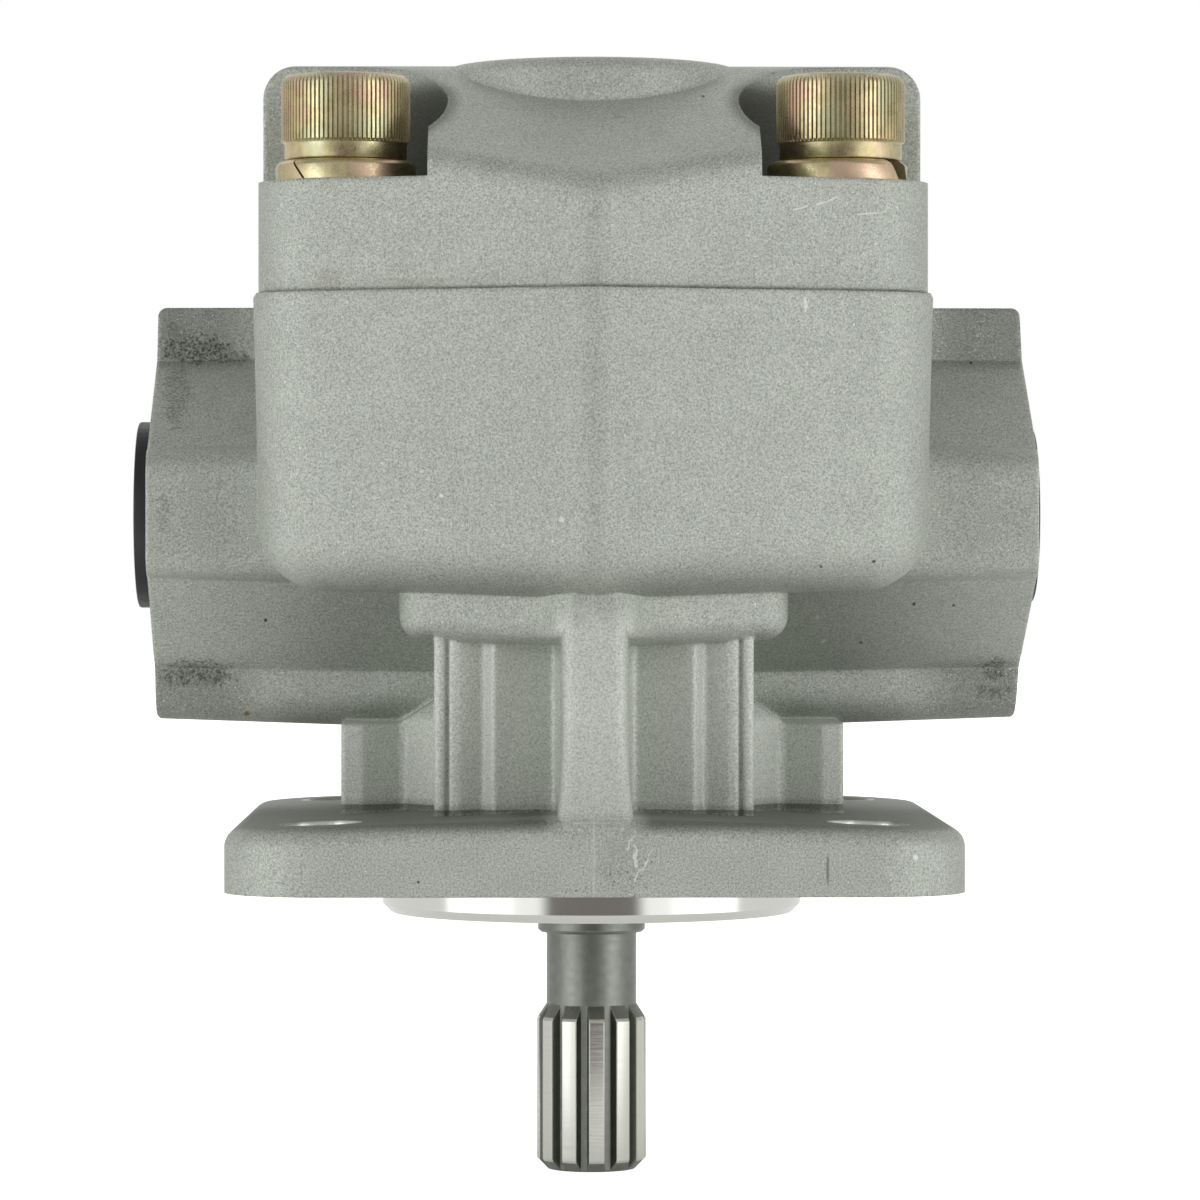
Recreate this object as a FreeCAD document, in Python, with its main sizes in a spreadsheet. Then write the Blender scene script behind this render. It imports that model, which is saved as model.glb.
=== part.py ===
import FreeCAD, Part
import math
import os
import Sketcher
from FreeCAD import Placement, Rotation, Vector

# External gear pump with a square four bolt flange, millimetres.
# The origin is the centre of the flange's mounting face. The drive shaft lies on the
# Z axis with its splined end pointing down, the driven gear lies behind it along +Y,
# and the two ports leave along -X and +X.

doc = FreeCAD.newDocument("gear_pump")

# Driving dimensions

SIZES = {
    # gears and their chamber
    "gear_module": 3.0,
    "gear_teeth": 12,
    "pressure_angle": 25.0,
    "gear_width": 21.0,
    "tooth_backlash": 0.12,
    "root_gap": 0.75,
    "tip_gap": 0.05,
    "side_gap": 0.05,
    "chamber_floor": 21.5,
    "seam_height": 82.5,
    # journals, bushes and bearing blocks
    "journal_diameter": 18.0,
    "journal_gap": 0.03,
    "journal_end_gap": 2.5,
    "journal_chamfer": 0.8,
    "shaft_bore_gap": 0.8,
    "bush_wall": 1.5,
    "bush_setback": 0.6,
    "block_gap": 0.06,
    "relief_gap": 11.0,
    "relief_width": 5.0,
    "relief_depth": 1.2,
    # slope of the cast faces away from the joint of the mould, millimetres per millimetre
    "mould_slope": 0.035,
    # square flange and pilot ring
    "flange_width": 101.4,
    "flange_thick": 10.7,
    "flange_corner": 12.7,
    "flange_edge": 2.8,
    "mount_pitch": 75.0,
    "mount_hole": 11.0,
    "pilot_diameter": 60.0,
    "pilot_height": 5.0,
    "pilot_edge": 1.2,
    # gear housing with its ridged front and back
    "body_width": 95.0,
    "body_ridge": 47.0,
    "body_ridge_drop": 15.7,
    "body_corner": 12.0,
    "ridge_round": 6.0,
    "body_draft": 1.4,
    "body_bottom": 39.9,
    "bottom_round": 9.0,
    "seam_bevel": 0.65,
    # lip under the housing
    "lip_width": 54.0,
    "lip_ridge": 38.5,
    "lip_ridge_drop": 8.9,
    "lip_corner": 5.0,
    "lip_height": 6.45,
    "lip_round": 3.4,
    # neck between flange and housing
    "neck_width": 44.3,
    "neck_front": 29.8,
    "neck_back": 47.0,
    "recess_lead": 1.1,
    "recess_depth": 2.5,
    "recess_edge": 13.9,
    "flute_valley": 15.4,
    "flute_depth": 1.6,
    "flute_end": 18.55,
    "bead_end": 20.1,
    "groove_width": 0.5,
    "groove_depth": 0.8,
    "recess_round": 0.6,
    "bead_round": 0.5,
    "neck_round": 0.8,
    "neck_back_round": 6.0,
    # rib down the middle of the neck
    "rib_width": 9.1,
    "rib_top_front": 39.6,
    "rib_front": 43.5,
    "rib_knee": 26.0,
    "rib_foot_front": 50.2,
    "rib_foot_drop": 0.4,
    "rib_flare": 5.0,
    "rib_round": 2.2,
    # webs under the port pads and the sump under the driven gear
    "web_span": 71.2,
    "web_front": 12.0,
    "web_back": 24.0,
    "web_step": 32.5,
    "web_valley": 27.5,
    "web_valley_front": 9.5,
    "web_root_front": 15.0,
    "web_round": 0.5,
    "web_top": 22.2,
    "web_rise": 3.4,
    "sump_bottom": 15.0,
    "sump_wall": 4.5,
    # port pads
    "pad_span": 126.0,
    "pad_root": 18.0,
    "pad_draft": 2.0,
    "pad_top_gap": 0.7,
    "pad_bottom": 22.5,
    "pad_bar": 28.0,
    "suction_low_bar": 36.0,
    "pressure_low_bar": 22.0,
    "pad_shoulder": 22.2,
    "pad_bar_round": 4.6,
    "pad_edge_round": 1.3,
    "ear_reach": 33.6,
    "ear_step": 3.6,
    "ear_height": 16.4,
    "ear_lead": 0.9,
    "ear_round": 3.3,
    "pad_face_height": 18.0,
    "suction_relief_top": 0.5,
    "suction_relief_foot": 0.4,
    "pressure_relief_top": 1.0,
    "pressure_relief_foot": 1.3,
    "port_bolt_pitch": 50.0,
    "port_bolt_hole": 8.4,
    "port_bolt_depth": 16.0,
    "suction_port": 22.0,
    "pressure_port": 20.0,
    # cover
    "cover_width": 93.6,
    "cover_ridge": 46.2,
    "cover_top": 116.0,
    "rim_round": 4.5,
    "shelf_height": 98.0,
    "shoulder_start": 97.0,
    "shoulder_knee": 22.0,
    "shoulder_knee_height": 109.7,
    "shoulder_end": 7.7,
    "shoulder_round": 20.0,
    "boss_diameter": 44.0,
    "boss_round": 2.4,
    "pocket_radius": 14.3,
    "pocket_wall": 22.9,
    # cover bolts and washers, M12
    "bolt_spread": 69.2,
    "bolt_front": 22.0,
    "bolt_diameter": 12.0,
    "bolt_clearance": 1.0,
    "bolt_thread_gap": 0.1,
    "bolt_length": 45.0,
    "bolt_hole_spare": 4.0,
    "head_diameter": 18.0,
    "head_height": 12.0,
    "head_chamfer": 1.0,
    "socket_width": 10.0,
    "socket_depth": 6.0,
    "washer_diameter": 20.6,
    "washer_bore": 12.4,
    "washer_thick": 3.0,
    "washer_split": 1.2,
    "washer_slant": 20.0,
    # locating dowels
    "dowel_spread": 72.0,
    "dowel_diameter": 8.0,
    "dowel_length": 14.0,
    "dowel_gap": 0.03,
    # shaft seal and its retaining ring
    "seal_bore": 30.0,
    "seal_width": 7.0,
    "seal_floor": 5.0,
    "seal_case_wall": 1.2,
    "seal_lip_wall": 2.6,
    "seal_lip_width": 4.5,
    "seal_lip_flare": 0.8,
    "spring_wire": 1.3,
    "spring_drop": 2.7,
    "ring_groove_depth": 0.9,
    "ring_thick": 1.2,
    "ring_width": 2.6,
    "ring_mouth": 12.0,
    "ring_eye": 3.9,
    "ring_eye_offset": 1.56,
    "ring_eye_drop": 4.45,
    # rubber seals
    "lobe_seal_inset": 1.4,
    "lobe_seal_width": 2.0,
    "lobe_seal_thick": 1.3,
    "lobe_backup_width": 1.0,
    "cover_seal_offset": 3.0,
    "cover_seal_width": 2.2,
    "cover_seal_thick": 1.6,
    "seal_slack": 0.1,
    # drive shaft's free end
    "collar_diameter": 15.4,
    "collar_end": 8.0,
    "undercut_diameter": 12.9,
    "undercut_end": 18.3,
    "spline_diameter": 15.75,
    "spline_start": 20.5,
    "spline_end": 42.0,
    "spline_chamfer": 1.6,
    "spline_teeth": 12,
    "spline_turn": 5.0,
    "spline_gap_top": 14.0,
    "spline_gap_root": 8.0,
    # shipping plugs
    "suction_plug": 27.3,
    "pressure_plug": 25.6,
    "suction_plug_rim": 3.2,
    "pressure_plug_rim": 2.2,
    "plug_length": 10.0,
    "plug_wall": 1.8,
    "plug_fit": 0.05,
}


class Size:
    """A number read from the sheet, with the formula that binds a property to it."""

    def __init__(self, number, formula):
        self.number = number
        self.formula = formula

    def __add__(self, other):
        other = as_size(other)
        return Size(self.number + other.number, f"({self.formula} + {other.formula})")

    def __sub__(self, other):
        other = as_size(other)
        return Size(self.number - other.number, f"({self.formula} - {other.formula})")

    def __mul__(self, other):
        other = as_size(other)
        return Size(self.number * other.number, f"({self.formula} * {other.formula})")

    def __truediv__(self, other):
        other = as_size(other)
        return Size(self.number / other.number, f"({self.formula} / {other.formula})")

    def __rsub__(self, other):
        return as_size(other) - self

    def __neg__(self):
        return Size(-self.number, f"(0 - {self.formula})")


def as_size(value):
    """A plain number becomes a size whose formula is the number itself."""
    if isinstance(value, Size):
        return value
    return Size(value, repr(value))


sheet = doc.addObject("Spreadsheet::Sheet", "Sizes")
for row, (name, number) in enumerate(SIZES.items(), start=1):
    sheet.set(f"A{row}", name)
    sheet.set(f"B{row}", str(number))
    sheet.setAlias(f"B{row}", name)
doc.recompute()


class Measures:
    """Each driving dimension under its own name."""


m = Measures()
for name in SIZES:
    setattr(m, name, Size(float(sheet.get(name)), f"Sizes.{name}"))

# Sizes that follow from the driving ones

gear_spacing = m.gear_module * m.gear_teeth
gear_tip = m.gear_module * (m.gear_teeth + 2) / 2
chamber_radius = gear_tip + m.tip_gap
chamber_depth = m.seam_height - m.chamber_floor
gear_bottom = m.chamber_floor + (chamber_depth - m.gear_width) / 2
gear_top = gear_bottom + m.gear_width
port_depth = gear_spacing / 2
port_height = m.chamber_floor + chamber_depth / 2
journal_radius = m.journal_diameter / 2
bush_radius = journal_radius + m.journal_gap + m.bush_wall
block_length = (chamber_depth - m.gear_width) / 2 - m.side_gap * 2
pad_face = m.pad_span / 2
pad_reach = m.seam_height - m.pad_top_gap - port_height
neck_top = m.body_bottom + m.bottom_round / 2
bolt_back = gear_spacing + m.bolt_front
washer_top = m.shelf_height + m.washer_thick
spline_root = m.undercut_diameter / 2
bolt_end = washer_top - m.bolt_length
ring_bottom = m.seal_floor - m.seal_width - m.ring_thick - m.seal_slack
lobe_outside = chamber_radius - m.block_gap - m.lobe_seal_inset
backup_inside = lobe_outside - m.lobe_seal_width - m.lobe_backup_width - m.seal_slack
seal_ring_inside = chamber_radius + m.cover_seal_offset
seal_ring_bottom = m.seam_height - m.cover_seal_thick - m.seal_slack


# Drawing helpers

def bind(target, path, value):
    """Tie one property to the sheet."""
    value = as_size(value)
    target.setExpression(path, value.formula)


def new_body(name):
    """An empty body that a casting or turned piece is drawn in."""
    return doc.addObject("PartDesign::Body", name)


def plane_of(body, role):
    """One of the body's own origin planes."""
    return next(feature for feature in body.Origin.OriginFeatures if feature.Role == role)


def new_sketch(body, name, role, height):
    """A sketch on an origin plane, moved along the plane's normal by height."""
    sketch = body.newObject("Sketcher::SketchObject", name)
    sketch.AttachmentSupport = (plane_of(body, role), [""])
    sketch.MapMode = "FlatFace"
    bind(sketch, "AttachmentOffset.Base.z", height)
    return sketch


def fix_point(sketch, geometry, point, x, y):
    """Dimension one point from the sketch's origin."""
    for kind, value in (("DistanceX", x), ("DistanceY", y)):
        index = sketch.addConstraint(
            Sketcher.Constraint(kind, -1, 1, geometry, point, value.number))
        sketch.setExpression(f"Constraints[{index}]", value.formula)


def draw_outline(sketch, corners):
    """A closed outline of straight runs. A corner is (x, y) or (x, y, radius)."""
    corners = [tuple(as_size(part) for part in corner) for corner in corners]
    places = [Vector(corner[0].number, corner[1].number, 0) for corner in corners]
    count = len(corners)
    rounds = {}
    for index, corner in enumerate(corners):
        if len(corner) < 3:
            continue
        here = places[index]
        before = (places[index - 1] - here).normalize()
        after = (places[(index + 1) % count] - here).normalize()
        half_angle = before.getAngle(after) / 2
        radius = corner[2].number
        setback = radius / math.tan(half_angle)
        toward = (before + after).normalize()
        centre = here + toward * (radius / math.sin(half_angle))
        start = here + before * setback
        end = here + after * setback
        middle = centre - toward * radius
        rounds[index] = (start, middle, end)
    lines = []
    for index in range(count):
        following = (index + 1) % count
        start = rounds[index][2] if index in rounds else places[index]
        end = rounds[following][0] if following in rounds else places[following]
        lines.append(sketch.addGeometry(Part.LineSegment(start, end), False))
    for index, corner in enumerate(corners):
        incoming = lines[index - 1]
        outgoing = lines[index]
        if index not in rounds:
            sketch.addConstraint(Sketcher.Constraint("Coincident", incoming, 2, outgoing, 1))
            fix_point(sketch, outgoing, 1, corner[0], corner[1])
            continue
        start, middle, end = rounds[index]
        arc = sketch.addGeometry(Part.Arc(start, middle, end), False)
        turns_left = (middle - start).cross(end - start).z > 0
        first, last = (1, 2) if turns_left else (2, 1)
        sketch.addConstraint(Sketcher.Constraint("Tangent", incoming, 2, arc, first))
        sketch.addConstraint(Sketcher.Constraint("Tangent", arc, last, outgoing, 1))
        radius = sketch.addConstraint(Sketcher.Constraint("Radius", arc, corner[2].number))
        sketch.setExpression(f"Constraints[{radius}]", corner[2].formula)
        point = sketch.addGeometry(Part.Point(places[index]), True)
        sketch.addConstraint(Sketcher.Constraint("PointOnObject", point, 1, incoming))
        sketch.addConstraint(Sketcher.Constraint("PointOnObject", point, 1, outgoing))
        fix_point(sketch, point, 1, corner[0], corner[1])


def mirrored(half):
    """The outline of a half with x at or above zero, joined to its mirror image."""
    other = [(-as_size(corner[0]),) + tuple(corner[1:]) for corner in reversed(half)]
    seen = [corner for corner in other if abs(as_size(corner[0]).number) > 1e-9]
    return list(half) + seen


def draw_circle(sketch, x, y, radius):
    """A circle with its centre and radius dimensioned."""
    x, y, radius = as_size(x), as_size(y), as_size(radius)
    circle = Part.Circle(Vector(x.number, y.number, 0), Vector(0, 0, 1), radius.number)
    index = sketch.addGeometry(circle, False)
    fix_point(sketch, index, 3, x, y)
    size = sketch.addConstraint(Sketcher.Constraint("Radius", index, radius.number))
    sketch.setExpression(f"Constraints[{size}]", radius.formula)


def extrude(body, kind, name, sketch, length, reverse=False, midplane=False, taper=None):
    """A pad or a pocket of one sketch."""
    feature = body.newObject(f"PartDesign::{kind}", name)
    feature.Profile = sketch
    bind(feature, "Length", length)
    feature.Reversed = reverse
    feature.Midplane = midplane
    if taper is not None:
        bind(feature, "TaperAngle", taper)
    return feature


def edge_names(shape, wanted):
    """The names of the edges whose every sample point passes the test."""
    names = []
    for index, edge in enumerate(shape.Edges, start=1):
        first, last = edge.ParameterRange
        samples = [edge.valueAt(first + (last - first) * share) for share in (0, 0.5, 1)]
        if all(wanted(point) for point in samples):
            names.append(f"Edge{index}")
    return names


def dress(body, kind, name, size, wanted):
    """A fillet or a chamfer on the edges of the body that pass the test."""
    doc.recompute()
    base = body.Tip
    names = edge_names(base.Shape, wanted)
    if not names:
        raise RuntimeError(f"{name} found no edges")
    feature = body.newObject(f"PartDesign::{kind}", name)
    feature.Base = (base, names)
    bind(feature, "Radius" if kind == "Fillet" else "Size", size)
    doc.recompute()
    return feature


def place(target, x=0, y=0, z=0, turn=None):
    """Place a primitive, each coordinate tied to the sheet."""
    if turn is not None:
        target.Placement = Placement(Vector(0, 0, 0), turn)
    for axis, value in (("x", x), ("y", y), ("z", z)):
        bind(target, f"Placement.Base.{axis}", value)
    return target


def cylinder(name, radius, height, x=0, y=0, z=0, turn=None):
    """A round bar or, in a cut, a bored hole."""
    bar = doc.addObject("Part::Cylinder", name)
    bind(bar, "Radius", radius)
    bind(bar, "Height", height)
    return place(bar, x, y, z, turn)


def box(name, length, width, height, x=0, y=0, z=0):
    """A block with its low corner at x, y, z."""
    block = doc.addObject("Part::Box", name)
    bind(block, "Length", length)
    bind(block, "Width", width)
    bind(block, "Height", height)
    return place(block, x, y, z)


def fuse(name, pieces):
    """Several shapes as one."""
    whole = doc.addObject("Part::MultiFuse", name)
    whole.Shapes = pieces
    return whole


def cut(name, base, tool):
    """One shape taken out of another."""
    result = doc.addObject("Part::Cut", name)
    result.Base = base
    result.Tool = tool
    return result


def twin(name, radius, height, z):
    """The figure of eight around both gear axes."""
    drive = cylinder(f"{name}_drive", radius, height, z=z)
    driven = cylinder(f"{name}_driven", radius, height, y=gear_spacing, z=z)
    return fuse(name, [drive, driven])


def group(name, pieces):
    """Like pieces kept as separate solids under one name."""
    whole = doc.addObject("Part::Compound", name)
    whole.Links = pieces
    return whole


TOWARD_PLUS_X = Rotation(Vector(0, 1, 0), 90)
TOWARD_MINUS_X = Rotation(Vector(0, 1, 0), -90)
# How far a cutting outline reaches past the form it cuts
SPARE = 4.0


# Pump body

def ridged(width, ridge, drop, corner):
    """Plan outline whose front and back rise to a shallow ridge on the centre line."""
    side = width / 2
    front = -ridge
    shoulder = drop - ridge
    half = [
        (0, front, m.ridge_round),
        (side, shoulder, corner),
        (side, gear_spacing - shoulder, corner),
        (0, gear_spacing - front, m.ridge_round),
    ]
    return mirrored(half)


def neck_outline():
    """Plan outline of the neck: sloping recess floors, flutes, beads and grooves."""
    rib_root = m.rib_width / 2
    front = -m.neck_front
    groove_end = m.bead_end + m.groove_width
    half = [
        (0, front + m.recess_round),
        (rib_root, front + m.recess_round),
        (rib_root + m.recess_lead, front + m.recess_depth, m.recess_round),
        (m.recess_edge, front, m.recess_round),
        (m.flute_valley, front + m.flute_depth, m.recess_round),
        (m.flute_end, front, m.bead_round),
        (m.bead_end, front, m.bead_round),
        (m.bead_end, front + m.groove_depth),
        (groove_end, front + m.groove_depth),
        (groove_end, front, m.bead_round),
        (m.neck_width / 2, front, m.neck_round),
        (m.neck_width / 2, m.neck_back, m.neck_back_round),
        (0, m.neck_back),
    ]
    return mirrored(half)


def web_outline():
    """Plan outline of the two webs that run out under the port pads."""
    tip = m.web_span / 2
    root = m.neck_width / 2
    half = [
        (root, -m.web_root_front),
        (m.web_valley - m.web_round * 2, -m.web_valley_front),
        (m.web_valley, -m.web_valley_front),
        (m.web_step, -m.web_front, m.web_round),
        (tip, -m.web_front, m.web_round),
        (tip, m.web_back, m.web_round),
        (root, m.web_back),
    ]
    return mirrored(half)


def pad_outline(low_bar):
    """Side outline of a port pad: upright bar with a bolt ear in front and behind."""
    over = 2.0
    middle = port_depth
    level = port_height
    crease = m.ear_reach - m.ear_step
    ear = m.ear_height / 2
    corners = []
    for side in (-1, 1):
        upper = [
            (m.pad_bar / 2, pad_reach + over),
            (m.pad_bar / 2, m.pad_shoulder),
            (crease, ear + m.ear_lead),
            (m.ear_reach, ear, m.ear_round),
        ]
        lower = [
            (m.ear_reach, -ear, m.ear_round),
            (crease, -ear - m.ear_lead),
            (low_bar / 2, -m.pad_shoulder),
            (low_bar / 2, m.pad_bottom - level, m.pad_bar_round),
        ]
        run = upper + lower
        if side > 0:
            run.reverse()
        for corner in run:
            corners.append((middle + corner[0] * side, level + corner[1]) + corner[2:])
    return corners


def slope_face(body, name, level, side, up):
    """Slopes a cast face along x so that it leaves the mould at the level it has at x = 0."""
    edge = side + SPARE
    rise = m.mould_slope * edge * up
    beyond = level + up * SPARE * 2
    sketch = new_sketch(body, f"{name}_slope", "XZ_Plane", 0)
    draw_outline(sketch, [
        (-edge, level + rise),
        (edge, level - rise),
        (edge, beyond),
        (-edge, beyond),
    ])
    extrude(body, "Pocket", f"{name}_slope_cut", sketch, m.flange_width * 2, midplane=True)


def on_slope(point, level, up):
    """True for a point on the face that was sloped from the given level."""
    return abs(point.z - level.number + m.mould_slope.number * point.x * up) < 0.01


def both_halves(name, body, side, low, high):
    """The right half of a body, as one half of the mould forms it, with its mirror image."""
    sketch = new_sketch(body, f"{name}_left", "XZ_Plane", 0)
    draw_outline(sketch, [
        (0, low - SPARE),
        (0, high + SPARE),
        (-side - SPARE, high + SPARE),
        (-side - SPARE, low - SPARE),
    ])
    extrude(body, "Pocket", f"{name}_left_cut", sketch, m.flange_width * 2, midplane=True)
    other = doc.addObject("Part::Mirroring", f"{name}_other_half")
    other.Source = body
    other.Normal = Vector(1, 0, 0)
    return fuse(name, [body, other])


def build_housing():
    """Gear housing: ridged, drafted walls and a heavily rounded bottom."""
    body = new_body("housing_half")
    side = m.body_width / 2
    bottom = m.body_bottom - SPARE
    plan = new_sketch(body, "housing_plan", "XY_Plane", m.seam_height)
    draw_outline(plan, ridged(m.body_width, m.body_ridge, m.body_ridge_drop, m.body_corner))
    extrude(body, "Pad", "housing", plan, m.seam_height - bottom, reverse=True, taper=-m.body_draft)
    slope_face(body, "housing", m.body_bottom, side, -1)
    dress(body, "Fillet", "housing_bottom", m.bottom_round, lambda point: on_slope(point, m.body_bottom, -1))
    bevel = new_sketch(body, "seam_bevel", "XZ_Plane", 0)
    draw_outline(bevel, [
        (side - m.seam_bevel, m.seam_height),
        (side - m.seam_bevel, m.seam_height + SPARE),
        (side + SPARE, m.seam_height + SPARE),
        (side + SPARE, m.seam_height - m.seam_bevel - SPARE),
    ])
    extrude(body, "Pocket", "seam_bevel_cut", bevel, m.flange_width * 2, midplane=True)
    return both_halves("housing_form", body, side, bottom, m.seam_height)


def build_lip():
    """The half round lip between housing and neck."""
    body = new_body("lip_half")
    underside = m.body_bottom - m.lip_height
    side = m.lip_width / 2
    plan = new_sketch(body, "lip_plan", "XY_Plane", underside - SPARE)
    draw_outline(plan, mirrored([
        (0, -m.lip_ridge),
        (side, m.lip_ridge_drop - m.lip_ridge, m.lip_corner),
        (side, 0),
        (0, 0),
    ]))
    extrude(body, "Pad", "lip", plan, neck_top - underside + SPARE)
    slope_face(body, "lip", underside, side, -1)
    dress(body, "Fillet", "lip_underside", m.lip_round,
          lambda point: on_slope(point, underside, -1) and point.y < -1)
    return both_halves("lip_form", body, side, underside, neck_top)


def build_neck():
    """Neck between flange and housing, with its recesses, flutes and beads."""
    body = new_body("neck_form")
    foot = m.flange_thick / 2
    plan = new_sketch(body, "neck_plan", "XY_Plane", foot)
    draw_outline(plan, neck_outline())
    extrude(body, "Pad", "neck", plan, neck_top - foot)
    return body


def build_rib():
    """Rib down the middle of the neck, its foot flared into the flange's edge."""
    body = new_body("rib_form")
    foot = m.flange_thick / 2
    ledge = m.flange_thick - m.rib_foot_drop
    top = m.body_bottom + m.bottom_round / 4
    side = new_sketch(body, "rib_side", "YZ_Plane", 0)
    draw_outline(side, [
        (0, foot),
        (-m.rib_foot_front, foot),
        (-m.rib_foot_front, ledge),
        (-m.rib_front, ledge, m.rib_flare),
        (-m.rib_front, m.rib_knee, m.bottom_round),
        (-m.rib_top_front, top),
        (0, top),
    ])
    extrude(body, "Pad", "rib", side, m.rib_width, midplane=True)
    dress(body, "Fillet", "rib_edges", m.rib_round,
          lambda point: abs(abs(point.x) - m.rib_width.number / 2) < 0.01
          and point.y < -m.rib_top_front.number + 0.01 and point.z > ledge.number + 0.01)
    return body


def build_webs():
    """The webs on both sides of the neck, level with the port pads and rising to the neck."""
    body = new_body("web_form")
    foot = m.flange_thick / 2
    plan = new_sketch(body, "web_plan", "XY_Plane", foot)
    draw_outline(plan, web_outline())
    extrude(body, "Pad", "webs", plan, m.web_top + m.web_rise - foot)
    above = new_sketch(body, "web_tops", "XZ_Plane", 0)
    for across in (-1, 1):
        draw_outline(above, [
            (m.neck_width / 2 * across, m.web_top + m.web_rise),
            (m.web_valley * across, m.web_top),
            ((m.web_span / 2 + SPARE) * across, m.web_top),
            ((m.web_span / 2 + SPARE) * across, m.web_top + m.web_rise + SPARE),
            (m.neck_width / 2 * across, m.web_top + m.web_rise + SPARE),
        ])
    extrude(body, "Pocket", "web_top_cuts", above, m.flange_width, midplane=True)
    return body


def build_pad(name, across, low_bar, relief_top, relief_foot):
    """A port pad that widens from its face to the housing, level on top with rounded edges."""
    body = new_body(f"{name}_pad_form")
    side = new_sketch(body, f"{name}_pad_side", "YZ_Plane", pad_face * across)
    draw_outline(side, pad_outline(low_bar))
    extrude(body, "Pad", f"{name}_pad", side, pad_face - m.pad_root, reverse=across > 0, taper=m.pad_draft)
    trims = new_sketch(body, f"{name}_pad_trims", "XZ_Plane", 0)
    top = m.seam_height - m.pad_top_gap
    draw_outline(trims, [
        (pad_face * across, port_height + m.pad_face_height / 2),
        ((pad_face - relief_top) * across, top, m.pad_edge_round),
        ((m.pad_root - SPARE) * across, top),
        ((m.pad_root - SPARE) * across, top + SPARE),
        ((pad_face + SPARE) * across, top + SPARE),
        ((pad_face + SPARE) * across, port_height + m.pad_face_height / 2),
    ])
    draw_outline(trims, [
        (pad_face * across, port_height - m.pad_face_height / 2),
        ((pad_face - relief_foot) * across, m.pad_bottom, m.pad_edge_round),
        ((pad_face - SPARE) * across, m.pad_bottom - SPARE / 4),
        ((pad_face - SPARE) * across, m.pad_bottom - SPARE),
        ((pad_face + SPARE) * across, m.pad_bottom - SPARE),
        ((pad_face + SPARE) * across, port_height - m.pad_face_height / 2),
    ])
    extrude(body, "Pocket", f"{name}_pad_trim_cut", trims, m.ear_reach * 4, midplane=True)
    return body


def build_flange():
    """Square mounting flange with its round pilot ring underneath."""
    body = new_body("flange_half")
    edge = m.flange_width / 2
    plan = new_sketch(body, "flange_plan", "XY_Plane", 0)
    draw_outline(plan, [
        (-edge, -edge, m.flange_corner),
        (edge, -edge, m.flange_corner),
        (edge, edge, m.flange_corner),
        (-edge, edge, m.flange_corner),
    ])
    extrude(body, "Pad", "flange", plan, m.flange_thick + SPARE)
    slope_face(body, "flange", m.flange_thick, edge, 1)
    dress(body, "Fillet", "flange_edge", m.flange_edge, lambda point: on_slope(point, m.flange_thick, 1))
    pilot = new_sketch(body, "pilot_plan", "XY_Plane", 0)
    draw_circle(pilot, 0, 0, m.pilot_diameter / 2)
    extrude(body, "Pad", "pilot", pilot, m.pilot_height, reverse=True)
    dress(body, "Chamfer", "pilot_edge", m.pilot_edge,
          lambda point: abs(point.z + m.pilot_height.number) < 0.01)
    return both_halves("flange_form", body, edge, -m.pilot_height, m.flange_thick)


def racetrack(name, radius, height, z):
    """Two half rounds about the gear axes joined by straight sides."""
    ends = twin(f"{name}_ends", radius, height, z)
    middle = box(f"{name}_middle", radius * 2, gear_spacing, height, x=-radius, z=z)
    return fuse(name, [ends, middle])


def corners_of(spread):
    """The four bolt places in plan, front pair first."""
    half = spread / 2
    return [(-half, -m.bolt_front), (half, -m.bolt_front), (-half, bolt_back), (half, bolt_back)]


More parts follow.
